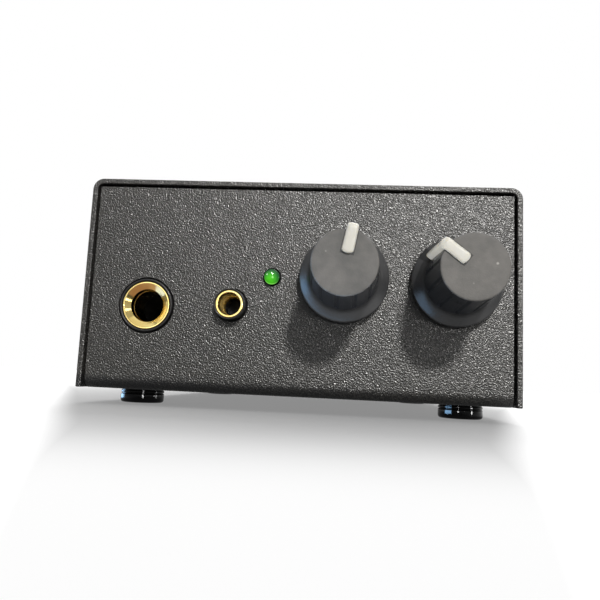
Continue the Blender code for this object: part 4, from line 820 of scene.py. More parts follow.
# Painted highlight: a thin bright rim near the edge of the lens.
rim = remap(tree, distance_from(tree, place, 0.05 * MM, 0.22 * MM), 1.60 * MM, 1.72 * MM, 0.0, 0.5)
glow_and_painted_highlights = mixed(tree, rim, glow_and_painted_highlights, tint(0.34, 0.92, 0.16))
inwards = add(tree, "ShaderNodeSeparateXYZ", {0: place}).outputs["Y"]
shining = remap(tree, inwards, LENS_FRONT + 1.3 * MM, LENS_FRONT + 1.8 * MM, 1.0, 0.0)
feed(shader, "Base Color", mixed(tree, shining, tint(0.004, 0.012, 0.005), body_tone))
feed(shader, "Emission Color", mixed(tree, shining, tint(0.0, 0.0, 0.0), glow_and_painted_highlights))

# %% Pilot light
LED_FLANGE = 1.0 * MM
flange_half = half_wide("power_led")
lens_tall = span("power_led")[1][1] - LENS_FRONT
arc = np.linspace(0.0, np.pi / 2, 22)
dome_rows = laid(LED_RADIUS * np.sin(arc), LED_RADIUS * (np.cos(arc) - 1.0))
body_rows = eased([
    (LED_RADIUS, -LED_RADIUS, 0.0), (LED_RADIUS, -(lens_tall - LED_FLANGE), 0.0),
    (flange_half, -(lens_tall - LED_FLANGE), 0.1 * MM), (flange_half, -lens_tall, 0.1 * MM),
    (0.0, -lens_tall, 0.0)])
lens_grid = turned(np.concatenate([dome_rows, body_rows[1:]]), (LED_AXIS[0], LENS_FRONT, LED_AXIS[1]),
                   OUT, steps=96)
pilot_lens = make_piece("pilot_lens", [(lens_grid, True)])
settle(pilot_lens, "case", "led_green", "power_led")

# %% [markdown]
# The knobs set the character of the front. Each has a flat face, a fluted grip that widens a little
# towards the panel, and a skirt that flares out like a trumpet. A knob could be a lathe form with flutes
# cut by Booleans. It is simpler to write its radius as a function of height and angle: the larger of the
# fluted grip and the flare, so that each flute runs out on the skirt in a small arch.

# %% Knob sizes
FACE_RADIUS = 5.93 * MM
GRIP_RADIUS = 6.6 * MM
KNOB_TOP = 18.0 * MM
KNOB_STANDOFF = 1.0 * MM
KNOB_EDGE = 0.30 * MM
KNOB_WALL = 1.1 * MM
FLARE_TOP = 4.5 * MM
FLARE_POWER = 1.6
INNER_SLOPE = 0.55
SKIRT_FOOT = 2.1 * MM
SKIRT_ROUND = SKIRT_FOOT + 0.15 * MM
BORE_RADIUS = 3.15 * MM
BORE_TOP = 14.3 * MM
SOCKET_CEILING = 4.0 * MM
FLUTES = 12
FLUTE_DEPTH = 0.30 * MM
FLUTE_RADIUS = 0.45 * MM
FLUTE_RUN_IN = 0.2 * MM
SLOT_INNER = 1.6 * MM
SLOT_HALF = 1.1 * MM
knob_low, knob_high, _ = span("left_knob")
SKIRT_RADIUS = (knob_high[2] - knob_low[2]) / 2
TURNS = {"left": np.radians(11.0), "right": np.radians(-52.0)}
AXES = {"left": LEFT_AXIS, "right": RIGHT_AXIS}
print("skirt %.1f mm across" % (2 * SKIRT_RADIUS / MM))


# %% Radii of a knob
def grip_radius(height):
    """Straight taper from the flare's top to the face."""
    return np.interp(height, [FLARE_TOP, KNOB_TOP], [GRIP_RADIUS, FACE_RADIUS])


def flare_radius(height):
    """A power of the way down from the flare's top to the skirt, and above it a slope back to the axis."""
    share = (FLARE_TOP - height) / (FLARE_TOP - SKIRT_FOOT)
    below = GRIP_RADIUS + (SKIRT_RADIUS - GRIP_RADIUS) * np.clip(share, 0.0, 1.0) ** FLARE_POWER
    return np.where(share > 0, below, GRIP_RADIUS - INNER_SLOPE * (height - FLARE_TOP))


def flute_depth(angle, radius):
    """A circle of the flute's radius sunk to its depth, at every twelfth of a turn but the pointer's."""
    pitch = 2 * np.pi / FLUTES
    nearest = np.round(angle / pitch)
    arc = radius * (angle - nearest * pitch)
    cut = np.sqrt(np.maximum(FLUTE_RADIUS ** 2 - arc ** 2, 0.0)) - (FLUTE_RADIUS - FLUTE_DEPTH)
    soft = np.maximum(0.5 * (cut + np.sqrt(cut ** 2 + (0.04 * MM) ** 2)) - 0.005 * MM, 0.0)
    return np.where(nearest % FLUTES == 0, 0.0, soft)


# %% [markdown]
# The face is rubbed matt and a little dusty, the grip keeps the dark gloss of its mould, and the skirt has
# a paler, more neutral base tone than the grip. The grip's tone is tinted navy, a painted reflection of blue
# surroundings on its dark plastic. So the finish follows the distance along the profile. Round the edge of
# the face the colour lightens in patches to a bluish grey: partly wear where fingers rub, partly a painted
# highlight on the rim. A thin painted shadow runs round the slot that the white strip sits in. Its place
# comes from two attributes of the mesh, the distances out along the strip and across it.

# %% Knob plastic
SKIRT_START = 19.1 * MM

tree, shader, place = start_finish("knob_plastic", IOR=1.5)
skin = use(tree, pebbles, Place=place, Per_metre=2600.0).outputs
cloud = drifting(tree, place, 150.0)
rub = drifting(tree, place, 640.0)
along = attribute(tree, "along")
facing = remap(tree, along, FACE_RADIUS - 0.1 * MM, FACE_RADIUS + 0.3 * MM, 1.0, 0.0)
skirted = remap(tree, along, SKIRT_START, SKIRT_START + 0.5 * MM, 0.0, 1.0)
# The grip's dark plastic is tinted navy: a painted reflection of blue surroundings.
grip_tone_and_blue_sheen = mixed(tree, cloud, tint(0.0205, 0.0226, 0.0276), tint(0.0300, 0.0322, 0.0378))
skirt_tone = mixed(tree, cloud, tint(0.031, 0.0315, 0.0326), tint(0.046, 0.0464, 0.0474))
side_tone_and_blue_sheen = mixed(tree, skirted, grip_tone_and_blue_sheen, skirt_tone)
dulled = calc(tree, "ADD", calc(tree, "MULTIPLY", cloud, 0.7), calc(tree, "MULTIPLY", rub, 0.3))
face_tone = mixed(tree, dulled, tint(0.060, 0.0592, 0.0553), tint(0.124, 0.1176, 0.1095))
base = mixed(tree, facing, side_tone_and_blue_sheen, face_tone)
from_edge = calc(tree, "ABSOLUTE", calc(tree, "SUBTRACT", along, FACE_RADIUS))
# Partly wear, partly a painted highlight: round the face's edge the colour lightens to a bluish grey in
# patches.
rim_wear_and_highlight = remap(tree, from_edge, 0.05 * MM, 0.40 * MM, 0.4, 0.0)
worn = calc(tree, "MULTIPLY", rim_wear_and_highlight, remap(tree, rub, 0.55, 0.95, 0.0, 1.0))
base = mixed(tree, worn, base, tint(0.150, 0.155, 0.165))
# Painted shadow: a thin dark line round the slot of the white strip.
beside = calc(tree, "SUBTRACT", calc(tree, "ABSOLUTE", attribute(tree, "across")), SLOT_HALF)
away = calc(tree, "MAXIMUM", beside, calc(tree, "SUBTRACT", SLOT_INNER, attribute(tree, "out")))
painted_slot_shadow = remap(tree, away, 0.06 * MM, 0.20 * MM, 0.8, 0.0)
base = mixed(tree, painted_slot_shadow, base, tint(0.006, 0.006, 0.006))
feed(shader, "Base Color", dusted(tree, place, base, 520.0, 0.05, 0.45, tint(0.5, 0.48, 0.45)))
gloss = remap(tree, facing, 0.0, 1.0, 0.27, 0.58)
feed(shader, "Roughness", calc(tree, "ADD", gloss, calc(tree, "MULTIPLY", cloud, 0.05)))
bump(tree, shader, skin["Height"], 0.03 * MM, 0.5)

# %% Knobs
AROUND = 480


def knob_grid(axis_xz, turn):
    """Rows from the face over the grip and skirt, under the rim and up the bore, each a ring of radii."""
    angle = np.linspace(0.0, 2 * np.pi, AROUND, endpoint=False)
    bow = np.linspace(0.0, np.pi / 2, 8)[1:]
    face = laid(np.linspace(0.0, 1.0, 12) * (FACE_RADIUS - KNOB_EDGE), KNOB_TOP)
    edge = laid(FACE_RADIUS - KNOB_EDGE * (1 - np.sin(bow)), KNOB_TOP - KNOB_EDGE * (1 - np.cos(bow)))
    heights = np.concatenate([
        np.linspace(KNOB_TOP - KNOB_EDGE, FLARE_TOP + 1.0 * MM, 22)[1:],
        np.linspace(FLARE_TOP + 1.0 * MM, FLARE_TOP - 0.2 * MM, 20)[1:],
        np.linspace(FLARE_TOP - 0.2 * MM, SKIRT_ROUND, 20)[1:]])[:, None]
    run_in = np.clip((KNOB_TOP - heights) / FLUTE_RUN_IN, 0.0, 1.0)
    grip = grip_radius(heights) - run_in * flute_depth(angle[None, :], grip_radius(heights))
    side = laid(np.maximum(grip, flare_radius(heights)), heights)
    inner_skirt = SKIRT_RADIUS - KNOB_WALL
    roof = flare_radius(SOCKET_CEILING) - KNOB_WALL
    under = eased([
        (flare_radius(SKIRT_ROUND), SKIRT_ROUND, 0.0),
        (SKIRT_RADIUS, SKIRT_FOOT - 0.1 * MM, 0.12 * MM), (SKIRT_RADIUS, KNOB_STANDOFF, 0.25 * MM),
        (inner_skirt, KNOB_STANDOFF, 0.1 * MM), (inner_skirt, SKIRT_FOOT, 0.2 * MM),
        (roof, SOCKET_CEILING, 0.3 * MM), (BORE_RADIUS, SOCKET_CEILING, 0.15 * MM),
        (BORE_RADIUS, BORE_TOP, 0.0), (0.0, BORE_TOP, 0.0)])
    around = np.zeros((1, AROUND, 2))
    rows = np.concatenate([
        np.concatenate([face, edge])[:, None] + around, side, under[1:, None] + around])
    radius, height = rows[..., 0], rows[..., 1]
    marks = {"out": radius * np.cos(angle), "across": radius * np.sin(angle)}
    grid = laid(axis_xz[0] + radius * np.sin(turn + angle), PANEL_Y - height,
                axis_xz[1] + radius * np.cos(turn + angle))
    return grid, marks


knobs = {}
for hand, axis_xz in AXES.items():
    grid, marks = knob_grid(axis_xz, TURNS[hand])
    knobs[hand] = make_piece(hand + "_fluted_knob", [(grid, True)], sharp=24, marks=marks)
    settle(knobs[hand], hand + "_control", "knob_plastic", hand + "_knob")

# %% [markdown]
# A white strip is let into each knob: it starts near the middle of the face, turns over the edge and runs
# down the grip, getting narrower. It is a rounded bar carried along a path that bends once. The outer line
# of the path is rounded at the bend and the inner line is a plain corner, so the bar never folds into
# itself, and at both ends its width closes to nothing on a rounded plan. The plastic is ivory white, and
# some light passes under its skin.

# %% Ivory plastic
shader = moulded_finish("pointer_white", tint(0.51, 0.502, 0.455), tint(0.585, 0.577, 0.530),
                        0.34, 0.48, 2200.0, 0.02 * MM, 0.02)
shader.inputs["Subsurface Weight"].default_value = 0.5
shader.inputs["Subsurface Radius"].default_value = (1.0, 0.9, 0.7)
shader.inputs["Subsurface Scale"].default_value = 1.5 * MM

# %% Pointers
POINTER_PROUD = 0.6 * MM
LEG_PROUD = 1.15 * MM
POINTER_SUNK = 0.8 * MM
POINTER_NARROW = 0.8 * MM
POINTER_CORNER = 1.1 * MM
INNER_CORNER = 0.15 * MM
POINTER_FOOT = FLARE_TOP + 0.3 * MM
END_ROUND = 0.75 * MM
PLAN_POWER = 2.4


def pointer_line(lift, leg_lift, corner_radius, steps):
    """Along the face at one lift and down the grip at another, rounded at the bend: (out, height)."""
    top = np.array([SLOT_INNER, KNOB_TOP + lift])
    foot = np.array([GRIP_RADIUS + leg_lift + 0.2 * MM, POINTER_FOOT])
    bend = np.array([grip_radius(KNOB_TOP) + leg_lift, KNOB_TOP + lift])
    down = (foot - bend) / np.linalg.norm(foot - bend)
    start = bend - np.array([corner_radius, 0.0])
    end = bend + down * corner_radius
    t = np.linspace(0.0, 1.0, steps)[:, None]
    ends = 0.5 * (1 - np.cos(np.pi * t))
    arc = (1 - t) ** 2 * start + 2 * t * (1 - t) * bend + t ** 2 * end
    return np.concatenate([top + (start - top) * ends, arc[1:-1], end + (foot - end) * ends])


def squared(wave):
    """A sine or cosine pushed outwards, sign x root of its size, so that a circle becomes a fat square."""
    return np.sign(wave) * np.abs(wave) ** 0.5


def pointer_grid(axis_xz, turn, steps=28, section=48):
    """A rounded bar: from the inner line to the outer line by share, to both sides by half the width."""
    outer = pointer_line(POINTER_PROUD, LEG_PROUD, POINTER_CORNER, steps)
    inner = pointer_line(-POINTER_SUNK, -POINTER_SUNK, INNER_CORNER, steps)
    run = np.concatenate([[0.0], np.cumsum(np.linalg.norm(np.diff(outer, axis=0), axis=1))])
    width = np.interp(run, [0.0, run[-1]], [SLOT_HALF, POINTER_NARROW])
    near = np.clip(np.minimum(run, run[-1] - run) / END_ROUND, 0.0, 1.0)
    plan = (1 - (1 - near) ** PLAN_POWER) ** (1 / PLAN_POWER)
    turn_round = np.linspace(0.0, 2 * np.pi, section, endpoint=False)
    share = 0.5 + 0.5 * squared(np.sin(turn_round)) * (0.8 + 0.2 * plan[:, None])
    flat = inner[:, None, :] + (outer - inner)[:, None, :] * share[..., None]
    off = (width * plan)[:, None] * squared(np.cos(turn_round))
    return laid(axis_xz[0] + flat[..., 0] * np.sin(turn) + off * np.cos(turn), PANEL_Y - flat[..., 1],
                axis_xz[1] + flat[..., 0] * np.cos(turn) - off * np.sin(turn))


pointers = {}
for hand, axis_xz in AXES.items():
    strip = pointer_grid(axis_xz, TURNS[hand])
    pointers[hand] = make_piece(hand + "_pointer_strip", [(strip, True)], sharp=55)
    settle(pointers[hand], hand + "_control", "pointer_white", hand + "_knob_pointer")

# %% [markdown]
# On the back sit two phono sockets and a supply inlet. A phono socket is a plated shell with a coloured
# plastic core, standing on a collar of the block behind the panel. Shell and core are turned. The block is
# a ball pulled apart into a box: each point of a small ball moves to the corner of the box on its side.

# %% Plated and coloured finishes
turned_finish("bright_steel", tint(0.72, 0.71, 0.69), tint(0.55, 0.54, 0.52), 0.18, 0.30, 4200.0)
moulded_finish("phono_white", tint(0.62, 0.61, 0.57), tint(0.72, 0.71, 0.67),
               0.30, 0.42, 3000.0, 0.02 * MM, 0.02)
moulded_finish("phono_red", tint(0.34, 0.018, 0.015), tint(0.44, 0.028, 0.022),
               0.30, 0.42, 3000.0, 0.02 * MM, 0.02)

# %% Phono block
COLLAR_SEAT = 4.3 * MM
COLLAR_ROOT = 3.0 * MM
SEAT_DEPTH = 0.5 * MM


def pulled_ball(low, high, radius, steps=48):
    """A box with round edges: middle + side of each axis x (half size - radius) + radius x ball point."""
    middle, half = (low + high) / 2, (high - low) / 2
    lift = np.linspace(0.0, np.pi, steps)[:, None]
    turn = (np.arange(2 * steps) + 0.5)[None, :] * np.pi / steps
    ball = laid(np.sin(lift) * np.cos(turn), np.sin(lift) * np.sin(turn), np.cos(lift))
    heading = laid(np.cos(turn), np.sin(turn), np.cos(lift))
    side = np.sign(np.where(np.abs(ball) < 1e-9, heading, ball))
    skin = middle + side * (half - radius) + radius * ball
    pole = np.broadcast_to(middle, skin[:1].shape) + half * [0.0, 0.0, 1.0]
    foot = np.broadcast_to(middle, skin[:1].shape) - half * [0.0, 0.0, 1.0]
    return np.concatenate([pole, skin, foot])


low, high, _ = span("phono_block")
inner_rear = REAR_Y - SHEET - WALL_GAP
collar_front = high[1] - REAR_Y
collar = eased([
    (0.0, -COLLAR_ROOT, 0.0), (COLLAR_RADIUS, -COLLAR_ROOT, 0.0), (COLLAR_RADIUS, collar_front, 0.35 * MM),
    (COLLAR_SEAT, collar_front, 0.1 * MM), (COLLAR_SEAT, collar_front - SEAT_DEPTH, 0.0),
    (0.0, collar_front - SEAT_DEPTH, 0.0)])
block = [(pulled_ball(low, np.array([high[0], inner_rear, high[2]]), 0.6 * MM), True)]
block += [(turned(collar, (x, REAR_Y, z), BACK), True) for x, z in PHONO_AXES]
settle(make_piece("phono_socket_block", block), "case", "black_plastic", "phono_block")

# %% Phono shells and cores, supply inlet
SHELL_WALL = 0.5 * MM
SHELL_STEP = 0.12 * MM
CORE_BORE = 1.7 * MM
CORE_DEPTH = 11.0 * MM
CORE_LEAD = 0.5 * MM


def sizes_of(node):
    """Radius and length of a part that is turned about an axis along y."""
    low, high, _ = span(node)
    return half_wide(node), high[1] - low[1]


def turn_rear(name, node, slot, corners, steps=128):
    """Turn a part of the rear panel from the inner end of its solid's box, backwards."""
    low, _, middle = span(node)
    grid = turned(eased(corners), (middle[0], low[1], middle[2]), BACK, steps)
    settle(make_piece(name, [(grid, True)]), "case", slot, node)


for hand, colour in (("left", "phono_white"), ("right", "phono_red")):
    half, tall = sizes_of("phono_shell_" + hand)
    turn_rear("phono_barrel_" + hand, "phono_shell_" + hand, "bright_steel", [
        (half - SHELL_WALL, 0.0, 0.0), (half, 0.0, 0.0), (half, tall - 1.4 * MM, 0.1 * MM),
        (half - SHELL_STEP, tall - 1.3 * MM, 0.1 * MM), (half - SHELL_STEP, tall, 0.25 * MM),
        (half - SHELL_WALL, tall, 0.12 * MM), (half - SHELL_WALL, 0.0, 0.0)])
    half, tall = sizes_of("phono_insert_" + hand)
    turn_rear("phono_core_" + hand, "phono_insert_" + hand, colour, [
        (0.0, 0.0, 0.0), (half, 0.0, 0.0), (half, tall, 0.15 * MM),
        (CORE_BORE + CORE_LEAD, tall, 0.15 * MM), (CORE_BORE, tall - CORE_LEAD, 0.1 * MM),
        (CORE_BORE, tall - CORE_DEPTH, 0.0), (0.0, tall - CORE_DEPTH, 0.0)])

socket_housing("inlet_socket_body", "supply_inlet_housing", INLET_AXIS, INLET_NOSE,
               3.2 * MM, 0.35 * MM, 3.2 * MM, 9.6 * MM, inner_rear, 1.0)
half, tall = sizes_of("supply_inlet_pin")
turn_rear("inlet_contact_pin", "supply_inlet_pin", "bright_steel", [
    (0.0, 0.0, 0.0), (half, 0.0, 0.0), (half, tall, 0.45 * MM), (0.0, tall, 0.0)], steps=64)

# %% [markdown]
# What is left are the works inside the case: board, chips, capacitors, potentiometers, springs and leads.
# Their solids have the right shapes already, so they stay, and each takes the finish of its slot. Plain
# steel in there has no turned rings, so it gets a finish of its own.

# %% Finishes of the works
METALS = [
    ("spring_bronze", tint(0.72, 0.47, 0.25), tint(0.50, 0.30, 0.15), 0.24, 0.38),
    ("shaft_metal", tint(0.66, 0.65, 0.63), tint(0.52, 0.51, 0.49), 0.24, 0.36),
    ("pot_case", tint(0.58, 0.56, 0.52), tint(0.44, 0.42, 0.38), 0.30, 0.45),
    ("bright_steel_works", tint(0.70, 0.69, 0.67), tint(0.55, 0.54, 0.52), 0.22, 0.36)]
PLASTICS = [
    ("board_green", tint(0.010, 0.085, 0.030), tint(0.016, 0.125, 0.045), 0.26, 0.40, 1800.0, 0.02 * MM),
    ("chip_black", tint(0.014, 0.014, 0.015), tint(0.024, 0.024, 0.025), 0.42, 0.60, 4200.0, 0.03 * MM),
    ("capacitor_sleeve", tint(0.012, 0.018, 0.050), tint(0.020, 0.028, 0.075), 0.20, 0.32, 2400.0, 0.02 * MM),
    ("wafer_brown", tint(0.105, 0.048, 0.020), tint(0.150, 0.072, 0.032), 0.42, 0.60, 3200.0, 0.03 * MM)]
for row in METALS:
    rubbed_finish(*row, 420.0, 0.01 * MM, 0.3, Metallic=1.0)
for row in PLASTICS:
    moulded_finish(*row)

carried = 0
for row in frame["record"]["subparts"]:
    node = frame["nodes"][row["node"]]
    finish = finishes.get(row["material_slot"] + "_works", finishes[row["material_slot"]])
    if not node.material_slots:
        node.data.materials.append(finish)
    for slot in node.material_slots:
        slot.material = finish
    carried += not node.hide_render
print("carried-over solids that still show:", carried)

# %% [markdown]
# The amplifier stands on white. The floor is a wide disc that takes the shadow. Part of its light is its
# own, so that the shadow stays a soft grey as on a lit table. The glow is low around the case and rises
# in front, behind and beside it, so its dip is a painted shadow laid over the cast one. That painted
# shadow narrows to the front, like a fan whose two edges run towards one point, and far away the floor is
# as white as the background.

# %% Floor
FLOOR_RADIUS = 2.5
SHADOW_GLOW = 0.255
TABLE_GLOW = 0.59
EDGE_GLOW = 0.85
FAN_X = 9.0 * MM
FAN_Y = -177.0 * MM
FAN_LEFT = 0.448
FAN_RIGHT = 0.258

ring = FLOOR_RADIUS * np.linspace(0.0, 1.0, 25) ** 2
floor_grid = turned(laid(ring, 0.0), (0.0, 0.0, 0.0), UP, steps=96)
floor = make_piece("floor", [(floor_grid, True)], inside=np.array([0.0, 0.0, -1.0]))
tree, shader, place = start_finish(
    "white_table", Roughness=0.9, Specular_IOR_Level=0.1, Emission_Color=tint(1.0, 1.0, 1.0))
spot = add(tree, "ShaderNodeSeparateXYZ", {0: place}).outputs
right_side = remap(tree, spot["X"], 46.0 * MM, 80.0 * MM, 0.0, 1.0)
left_side = remap(tree, spot["X"], -125.0 * MM, -60.0 * MM, 1.0, 0.0)
before = remap(tree, spot["Y"], -152.0 * MM, -87.0 * MM, 1.0, 0.0)
behind = remap(tree, spot["Y"], REAR_Y, REAR_Y + 120.0 * MM, 0.0, 1.0)
clear = calc(tree, "MAXIMUM", calc(tree, "MAXIMUM", right_side, left_side),
             calc(tree, "MAXIMUM", before, behind))
# Painted shadow: the floor's glow dips around the case and along a fan that narrows to the front.
glow = remap(tree, clear, 0.0, 1.0, SHADOW_GLOW, TABLE_GLOW)
run = calc(tree, "SUBTRACT", spot["Y"], FAN_Y)
off = calc(tree, "SUBTRACT", spot["X"], FAN_X)
past_left = calc(tree, "SUBTRACT", calc(tree, "MULTIPLY", off, -1.0), calc(tree, "MULTIPLY", run, FAN_LEFT))
past_right = calc(tree, "SUBTRACT", off, calc(tree, "MULTIPLY", run, FAN_RIGHT))
past = calc(tree, "MAXIMUM", past_left, past_right)
glow = calc(tree, "MAXIMUM", glow, remap(tree, past, -2.0 * MM, 6.0 * MM, SHADOW_GLOW, EDGE_GLOW))
distance = add(tree, "ShaderNodeVectorMath", {0: place}, operation="LENGTH").outputs["Value"]
glow = calc(tree, "MAXIMUM", glow, remap(tree, distance, 200.0 * MM, 600.0 * MM, 0.0, 1.0))
floor.data.materials.append(finishes["white_table"])
print("floor %.1f m across" % (2 * FLOOR_RADIUS))

# %% [markdown]
# Only the camera and reflections see the floor's glow, and diffuse light meets a darker table, so it
# doesn't lift the shadows of the case. Towards the camera's side the reflections see less of it, as of a
# table that ends there, which keeps dark bands in the brass. From below the floor is clear, so that the
# underside of the case can be looked at.

# %% What sees the floor
seen = add(tree, "ShaderNodeLightPath").outputs
mirrored = calc(tree, "MAXIMUM", seen["Is Glossy Ray"], seen["Is Transmission Ray"])
mirrored = calc(tree, "MULTIPLY", mirrored, remap(tree, spot["Y"], -75.0 * MM, -10.0 * MM, 0.12, 1.0))
direct = calc(tree, "MAXIMUM", seen["Is Camera Ray"], mirrored)
feed(shader, "Emission Strength", calc(tree, "MULTIPLY", direct, glow))
table_tone = mixed(tree, seen["Is Camera Ray"], tint(0.10, 0.10, 0.10), tint(0.40, 0.40, 0.40))
feed(shader, "Base Color", table_tone)
from_below = add(tree, "ShaderNodeNewGeometry").outputs["Backfacing"]
through = add(tree, "ShaderNodeBsdfTransparent").outputs["BSDF"]
both = add(tree, "ShaderNodeMixShader", {0: from_below, 1: shader.outputs["BSDF"], 2: through}).outputs[0]
tree.links.new(both, tree.nodes["Material Output"].inputs["Surface"])
print("floor nodes:", len(tree.nodes))

# %% [markdown]
# The room is white behind the amplifier and dim behind the camera. That dim side is what the panel and the
# brass look at, so the lamp in front stays the main light, the knobs throw clear shadows and the metal
# keeps its dark and bright bands. The background is one gradient over the direction of view. The camera
# itself sees plain white on every side.

# %% Room
ROOM_LEFT = 0.24
ROOM_RIGHT = 0.46
ROOM_BACK = 1.0
ROOM_TOP = 0.5
world = bpy.data.worlds.new("studio")
bpy.context.scene.world = world
world.use_nodes = True
tree = world.node_tree
look = add(tree, "ShaderNodeSeparateXYZ", {0: add(tree, "ShaderNodeTexCoord").outputs["Generated"]}).outputs
front = remap(tree, look["X"], -0.6, 0.6, ROOM_LEFT, ROOM_RIGHT)
level = calc(tree, "MAXIMUM", remap(tree, look["Y"], -0.25, 0.35, front, ROOM_BACK),
             remap(tree, look["Z"], 0.35, 0.80, 0.0, ROOM_TOP))
level = calc(tree, "MAXIMUM", level, add(tree, "ShaderNodeLightPath").outputs["Is Camera Ray"])
grey = add(tree, "ShaderNodeCombineColor", {0: level, 1: level, 2: level})
feed(tree.nodes["Background"], "Color", grey.outputs[0])
bpy.context.scene.view_settings.view_transform = "Standard"
print("room:", world.name)

# %% [markdown]
# The main lamp is a small soft box high in front, a little to the right, so that each knob throws a clear
# shadow down to the left. A weak fill below it softens that shadow. A broad box above and behind lights
# the table and draws the shadow of the case forwards. Light linking ties a lamp to the pieces it may
# reach: the first two leave the table alone, and the main lamp also leaves out the brass, which has cards
# of its own.

# %% Main lamps
WHITE = (1.0, 1.0, 1.0)
WARM = (1.0, 0.98, 0.95)
PANEL_MIDDLE = np.array([0.0, PANEL_Y / MM, 24.0])
TO_KEY = np.array([0.250, -0.820, 0.515])
TO_FILL = np.array([0.250, -0.962, 0.110])


def soft_box(name, place, aim, wide_mm, tall_mm, watts, colour):
    """A rectangular lamp that faces its aim: its own z axis points from the aim to the lamp."""
    light = bpy.data.lights.new(name, "AREA")
    light.shape = "RECTANGLE"
    light.size = wide_mm * MM
    light.size_y = tall_mm * MM
    light.energy = watts
    light.color = colour
    lamp = bpy.data.objects.new(name, light)
    place = np.array(place, float)
    lamp.matrix_world = posed(place - np.array(aim, float), UP, place * MM)
    lamp.visible_camera = False
    bpy.context.scene.collection.objects.link(lamp)
    return lamp


def light_only(lamp, pieces):
    """Let a lamp reach some pieces alone, by a collection that it is linked to."""
    group = bpy.data.collections.new(lamp.name + "_pieces")
    for piece in pieces:
        group.objects.link(piece)
    lamp.light_linking.receiver_collection = group


brasses = [phone_bush, mini_bush]
everything = [piece for piece in bpy.context.scene.objects if piece.type == "MESH" and piece is not floor]
key = soft_box("key_lamp", PANEL_MIDDLE + 800.0 * TO_KEY, PANEL_MIDDLE, 60.0, 60.0, 5.3, WARM)
light_only(key, [piece for piece in everything if piece not in brasses])
fill = soft_box("fill_lamp", PANEL_MIDDLE + 700.0 * TO_FILL, PANEL_MIDDLE, 60.0, 60.0, 0.6, WARM)
light_only(fill, everything)
soft_box("back_box", (0.0, 330.0, 430.0), (0.0, 0.0, 0.0), 500.0, 300.0, 2.0, WHITE)
print("pieces that the key lamp reaches:", len(everything) - len(brasses))

# %% [markdown]
# Black plastic shows what it faces. A white table throws light up at the knobs, and flat cards on the
# table stand for it, one for each knob and one for the pointers, so that each has its own strength. Two
# bluish cards on the left are like a window: they show only as reflections. The last three lift the face
# and the strip of the right knob. Each row of the list gives a card's place and aim in millimetres, its
# size, its watts and colour, the pieces it reaches, and whether its diffuse light counts.

# %% Cards for the knobs and pointers
BLUE = (0.34, 0.63, 1.0)


def hang_cards(rows):
    """Small lamps for some pieces alone, one to a row."""
    for name, place, aim, wide_mm, tall_mm, watts, colour, pieces, diffuse in rows:
        card = soft_box(name, place, aim, wide_mm, tall_mm, watts, colour)
        card.visible_diffuse = diffuse
        light_only(card, pieces)
    print("cards:", ", ".join(row[0] for row in rows))


def above(x, y):
    """A place on the table and a point far above it, for a card that lies flat."""
    return (x, y, 1.2), (x, y + 0.1, 100.0)


TABLE_CARD = (*above(0.0, -105.0), 150.0, 90.0)
left_knob, right_knob = [knobs["left"]], [knobs["right"]]
right_pointer = [pointers["right"]]
hang_cards([
    ("table_left", *TABLE_CARD, 0.032, WHITE, left_knob, True),
    ("table_right", *TABLE_CARD, 0.018, WHITE, right_knob, True),
    ("table_pointers", *TABLE_CARD, 0.030, WHITE, pointers.values(), True),
    ("knob_sheen_low", *above(-24.0, -84.0), 76.0, 30.0, 0.017, BLUE, knobs.values(), False),
    ("knob_sheen_side", (-70.0, -92.0, 10.0), (4.0, -60.0, 24.0), 60.0, 50.0, 0.060, BLUE, left_knob, False),
    ("right_face", (40.0, -300.0, 60.0), (31.0, -75.0, 27.0), 100.0, 100.0, 0.05, WHITE, right_knob, True),
    ("pointer_card", (-25.0, -95.0, 1.6), (22.0, -66.0, 32.0), 60.0, 60.0, 0.0113, WHITE,
     right_pointer, True),
    ("pointer_low", (12.0, -68.0, 1.6), (25.0, -67.0, 32.0), 24.0, 24.0, 0.010, WHITE, right_pointer, True)])

# %% [markdown]
# Glossy rubber under a dark case shows only a few small marks of light. A bluish card and two white ones
# round each front foot give it those, as reflections alone.

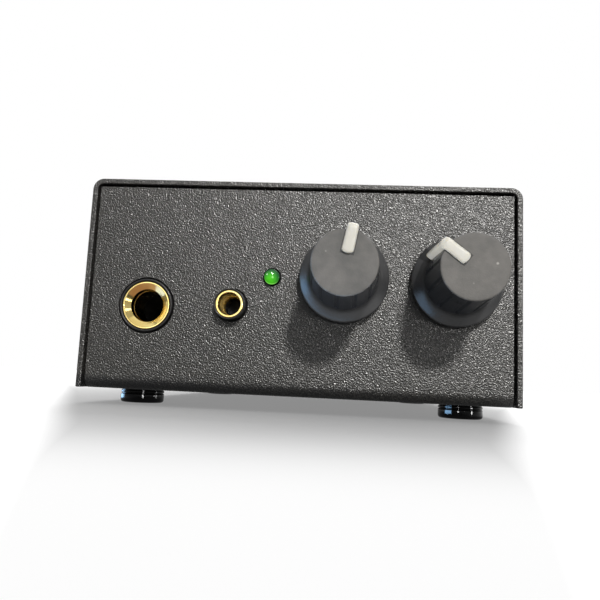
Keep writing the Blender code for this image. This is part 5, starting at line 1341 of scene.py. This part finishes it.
# %% Cards for the feet
feet = [piece for piece in everything if piece.name.startswith("rubber_")]
hang_cards([
    ("left_foot_sheen", (-53.2, -38.0, 1.9), (-39.2, -43.5, 1.9), 11.0, 3.8, 0.0013, BLUE, feet, False),
    ("left_foot_dot", (-29.0, -59.0, 1.9), (-34.0, -45.0, 1.9), 1.8, 3.4, 0.0006, WHITE, feet, False),
    ("left_foot_end", (-16.6, -42.0, 1.5), (-31.4, -43.3, 1.5), 2.5, 2.4, 0.00016, WHITE, feet, False),
    ("right_foot_sheen", (18.0, -48.2, 1.9), (32.5, -44.5, 1.9), 11.0, 3.8, 0.0026, BLUE, feet, False),
    ("right_foot_dot", (48.4, -54.8, 1.9), (37.0, -45.2, 1.9), 2.2, 3.4, 0.0008, WHITE, feet, False),
    ("right_foot_spot", (29.0, -59.4, 1.9), (34.2, -45.3, 1.9), 1.6, 1.6, 0.00025, WHITE, feet, False)])

# %% [markdown]
# The lens shows a window on its left and a lamp above. A brass ring mirrors its whole surroundings, so
# cards in front, above, on the left and on the table, white, silvery and amber, draw the bright arcs in
# its lip and cone. One more reaches into the small bush and lights the wall of its bore.

# %% Cards for the lens and the brass
SILVER = (0.36, 0.49, 1.0)
AMBER = (1.0, 0.55, 0.45)
TO_WINDOW = np.array([-0.875, -0.253, 0.415])


def on_panel(axis_xz):
    """The point of the front panel that an axis passes through, in millimetres."""
    return np.array([axis_xz[0], PANEL_Y, axis_xz[1]]) / MM


LED_PLACE, PHONE_PLACE, MINI_PLACE = on_panel(LED_AXIS), on_panel(PHONE_AXIS), on_panel(MINI_AXIS)
hang_cards([
    ("lens_left", LED_PLACE + 200.0 * TO_WINDOW, LED_PLACE, 46.0, 46.0, 0.16, WHITE, [pilot_lens], False),
    ("lens_top", LED_PLACE + [-4.0, -120.0, 160.0], LED_PLACE, 60.0, 36.0, 0.36, WHITE, [pilot_lens], False),
    ("low_bar", (37.0, -114.0, 6.0), PHONE_PLACE, 24.0, 9.0, 0.0036, WHITE, brasses, False),
    ("high_bar", (206.0, -248.0, 146.0), PHONE_PLACE, 60.0, 36.0, 0.027, WHITE, brasses, False),
    ("brass_front", (-60.0, -450.0, 60.0), PHONE_PLACE, 240.0, 150.0, 0.19, WHITE, brasses, True),
    ("brass_top", (-60.0, -140.0, 300.0), PHONE_PLACE, 420.0, 200.0, 0.10, WHITE, brasses, True),
    ("brass_left", (-300.0, -75.0, 120.0), PHONE_PLACE, 130.0, 240.0, 0.070, WHITE, brasses, False),
    ("brass_silver", *above(-76.0, -68.0), 48.0, 36.0, 0.012, SILVER, brasses, False),
    ("brass_amber", *above(-27.0, -74.0), 50.0, 34.0, 0.0016, AMBER, brasses, False),
    ("mini_wall", (40.0, -110.0, 24.0), MINI_PLACE, 30.0, 30.0, 0.028, WHITE, [mini_bush], True)])
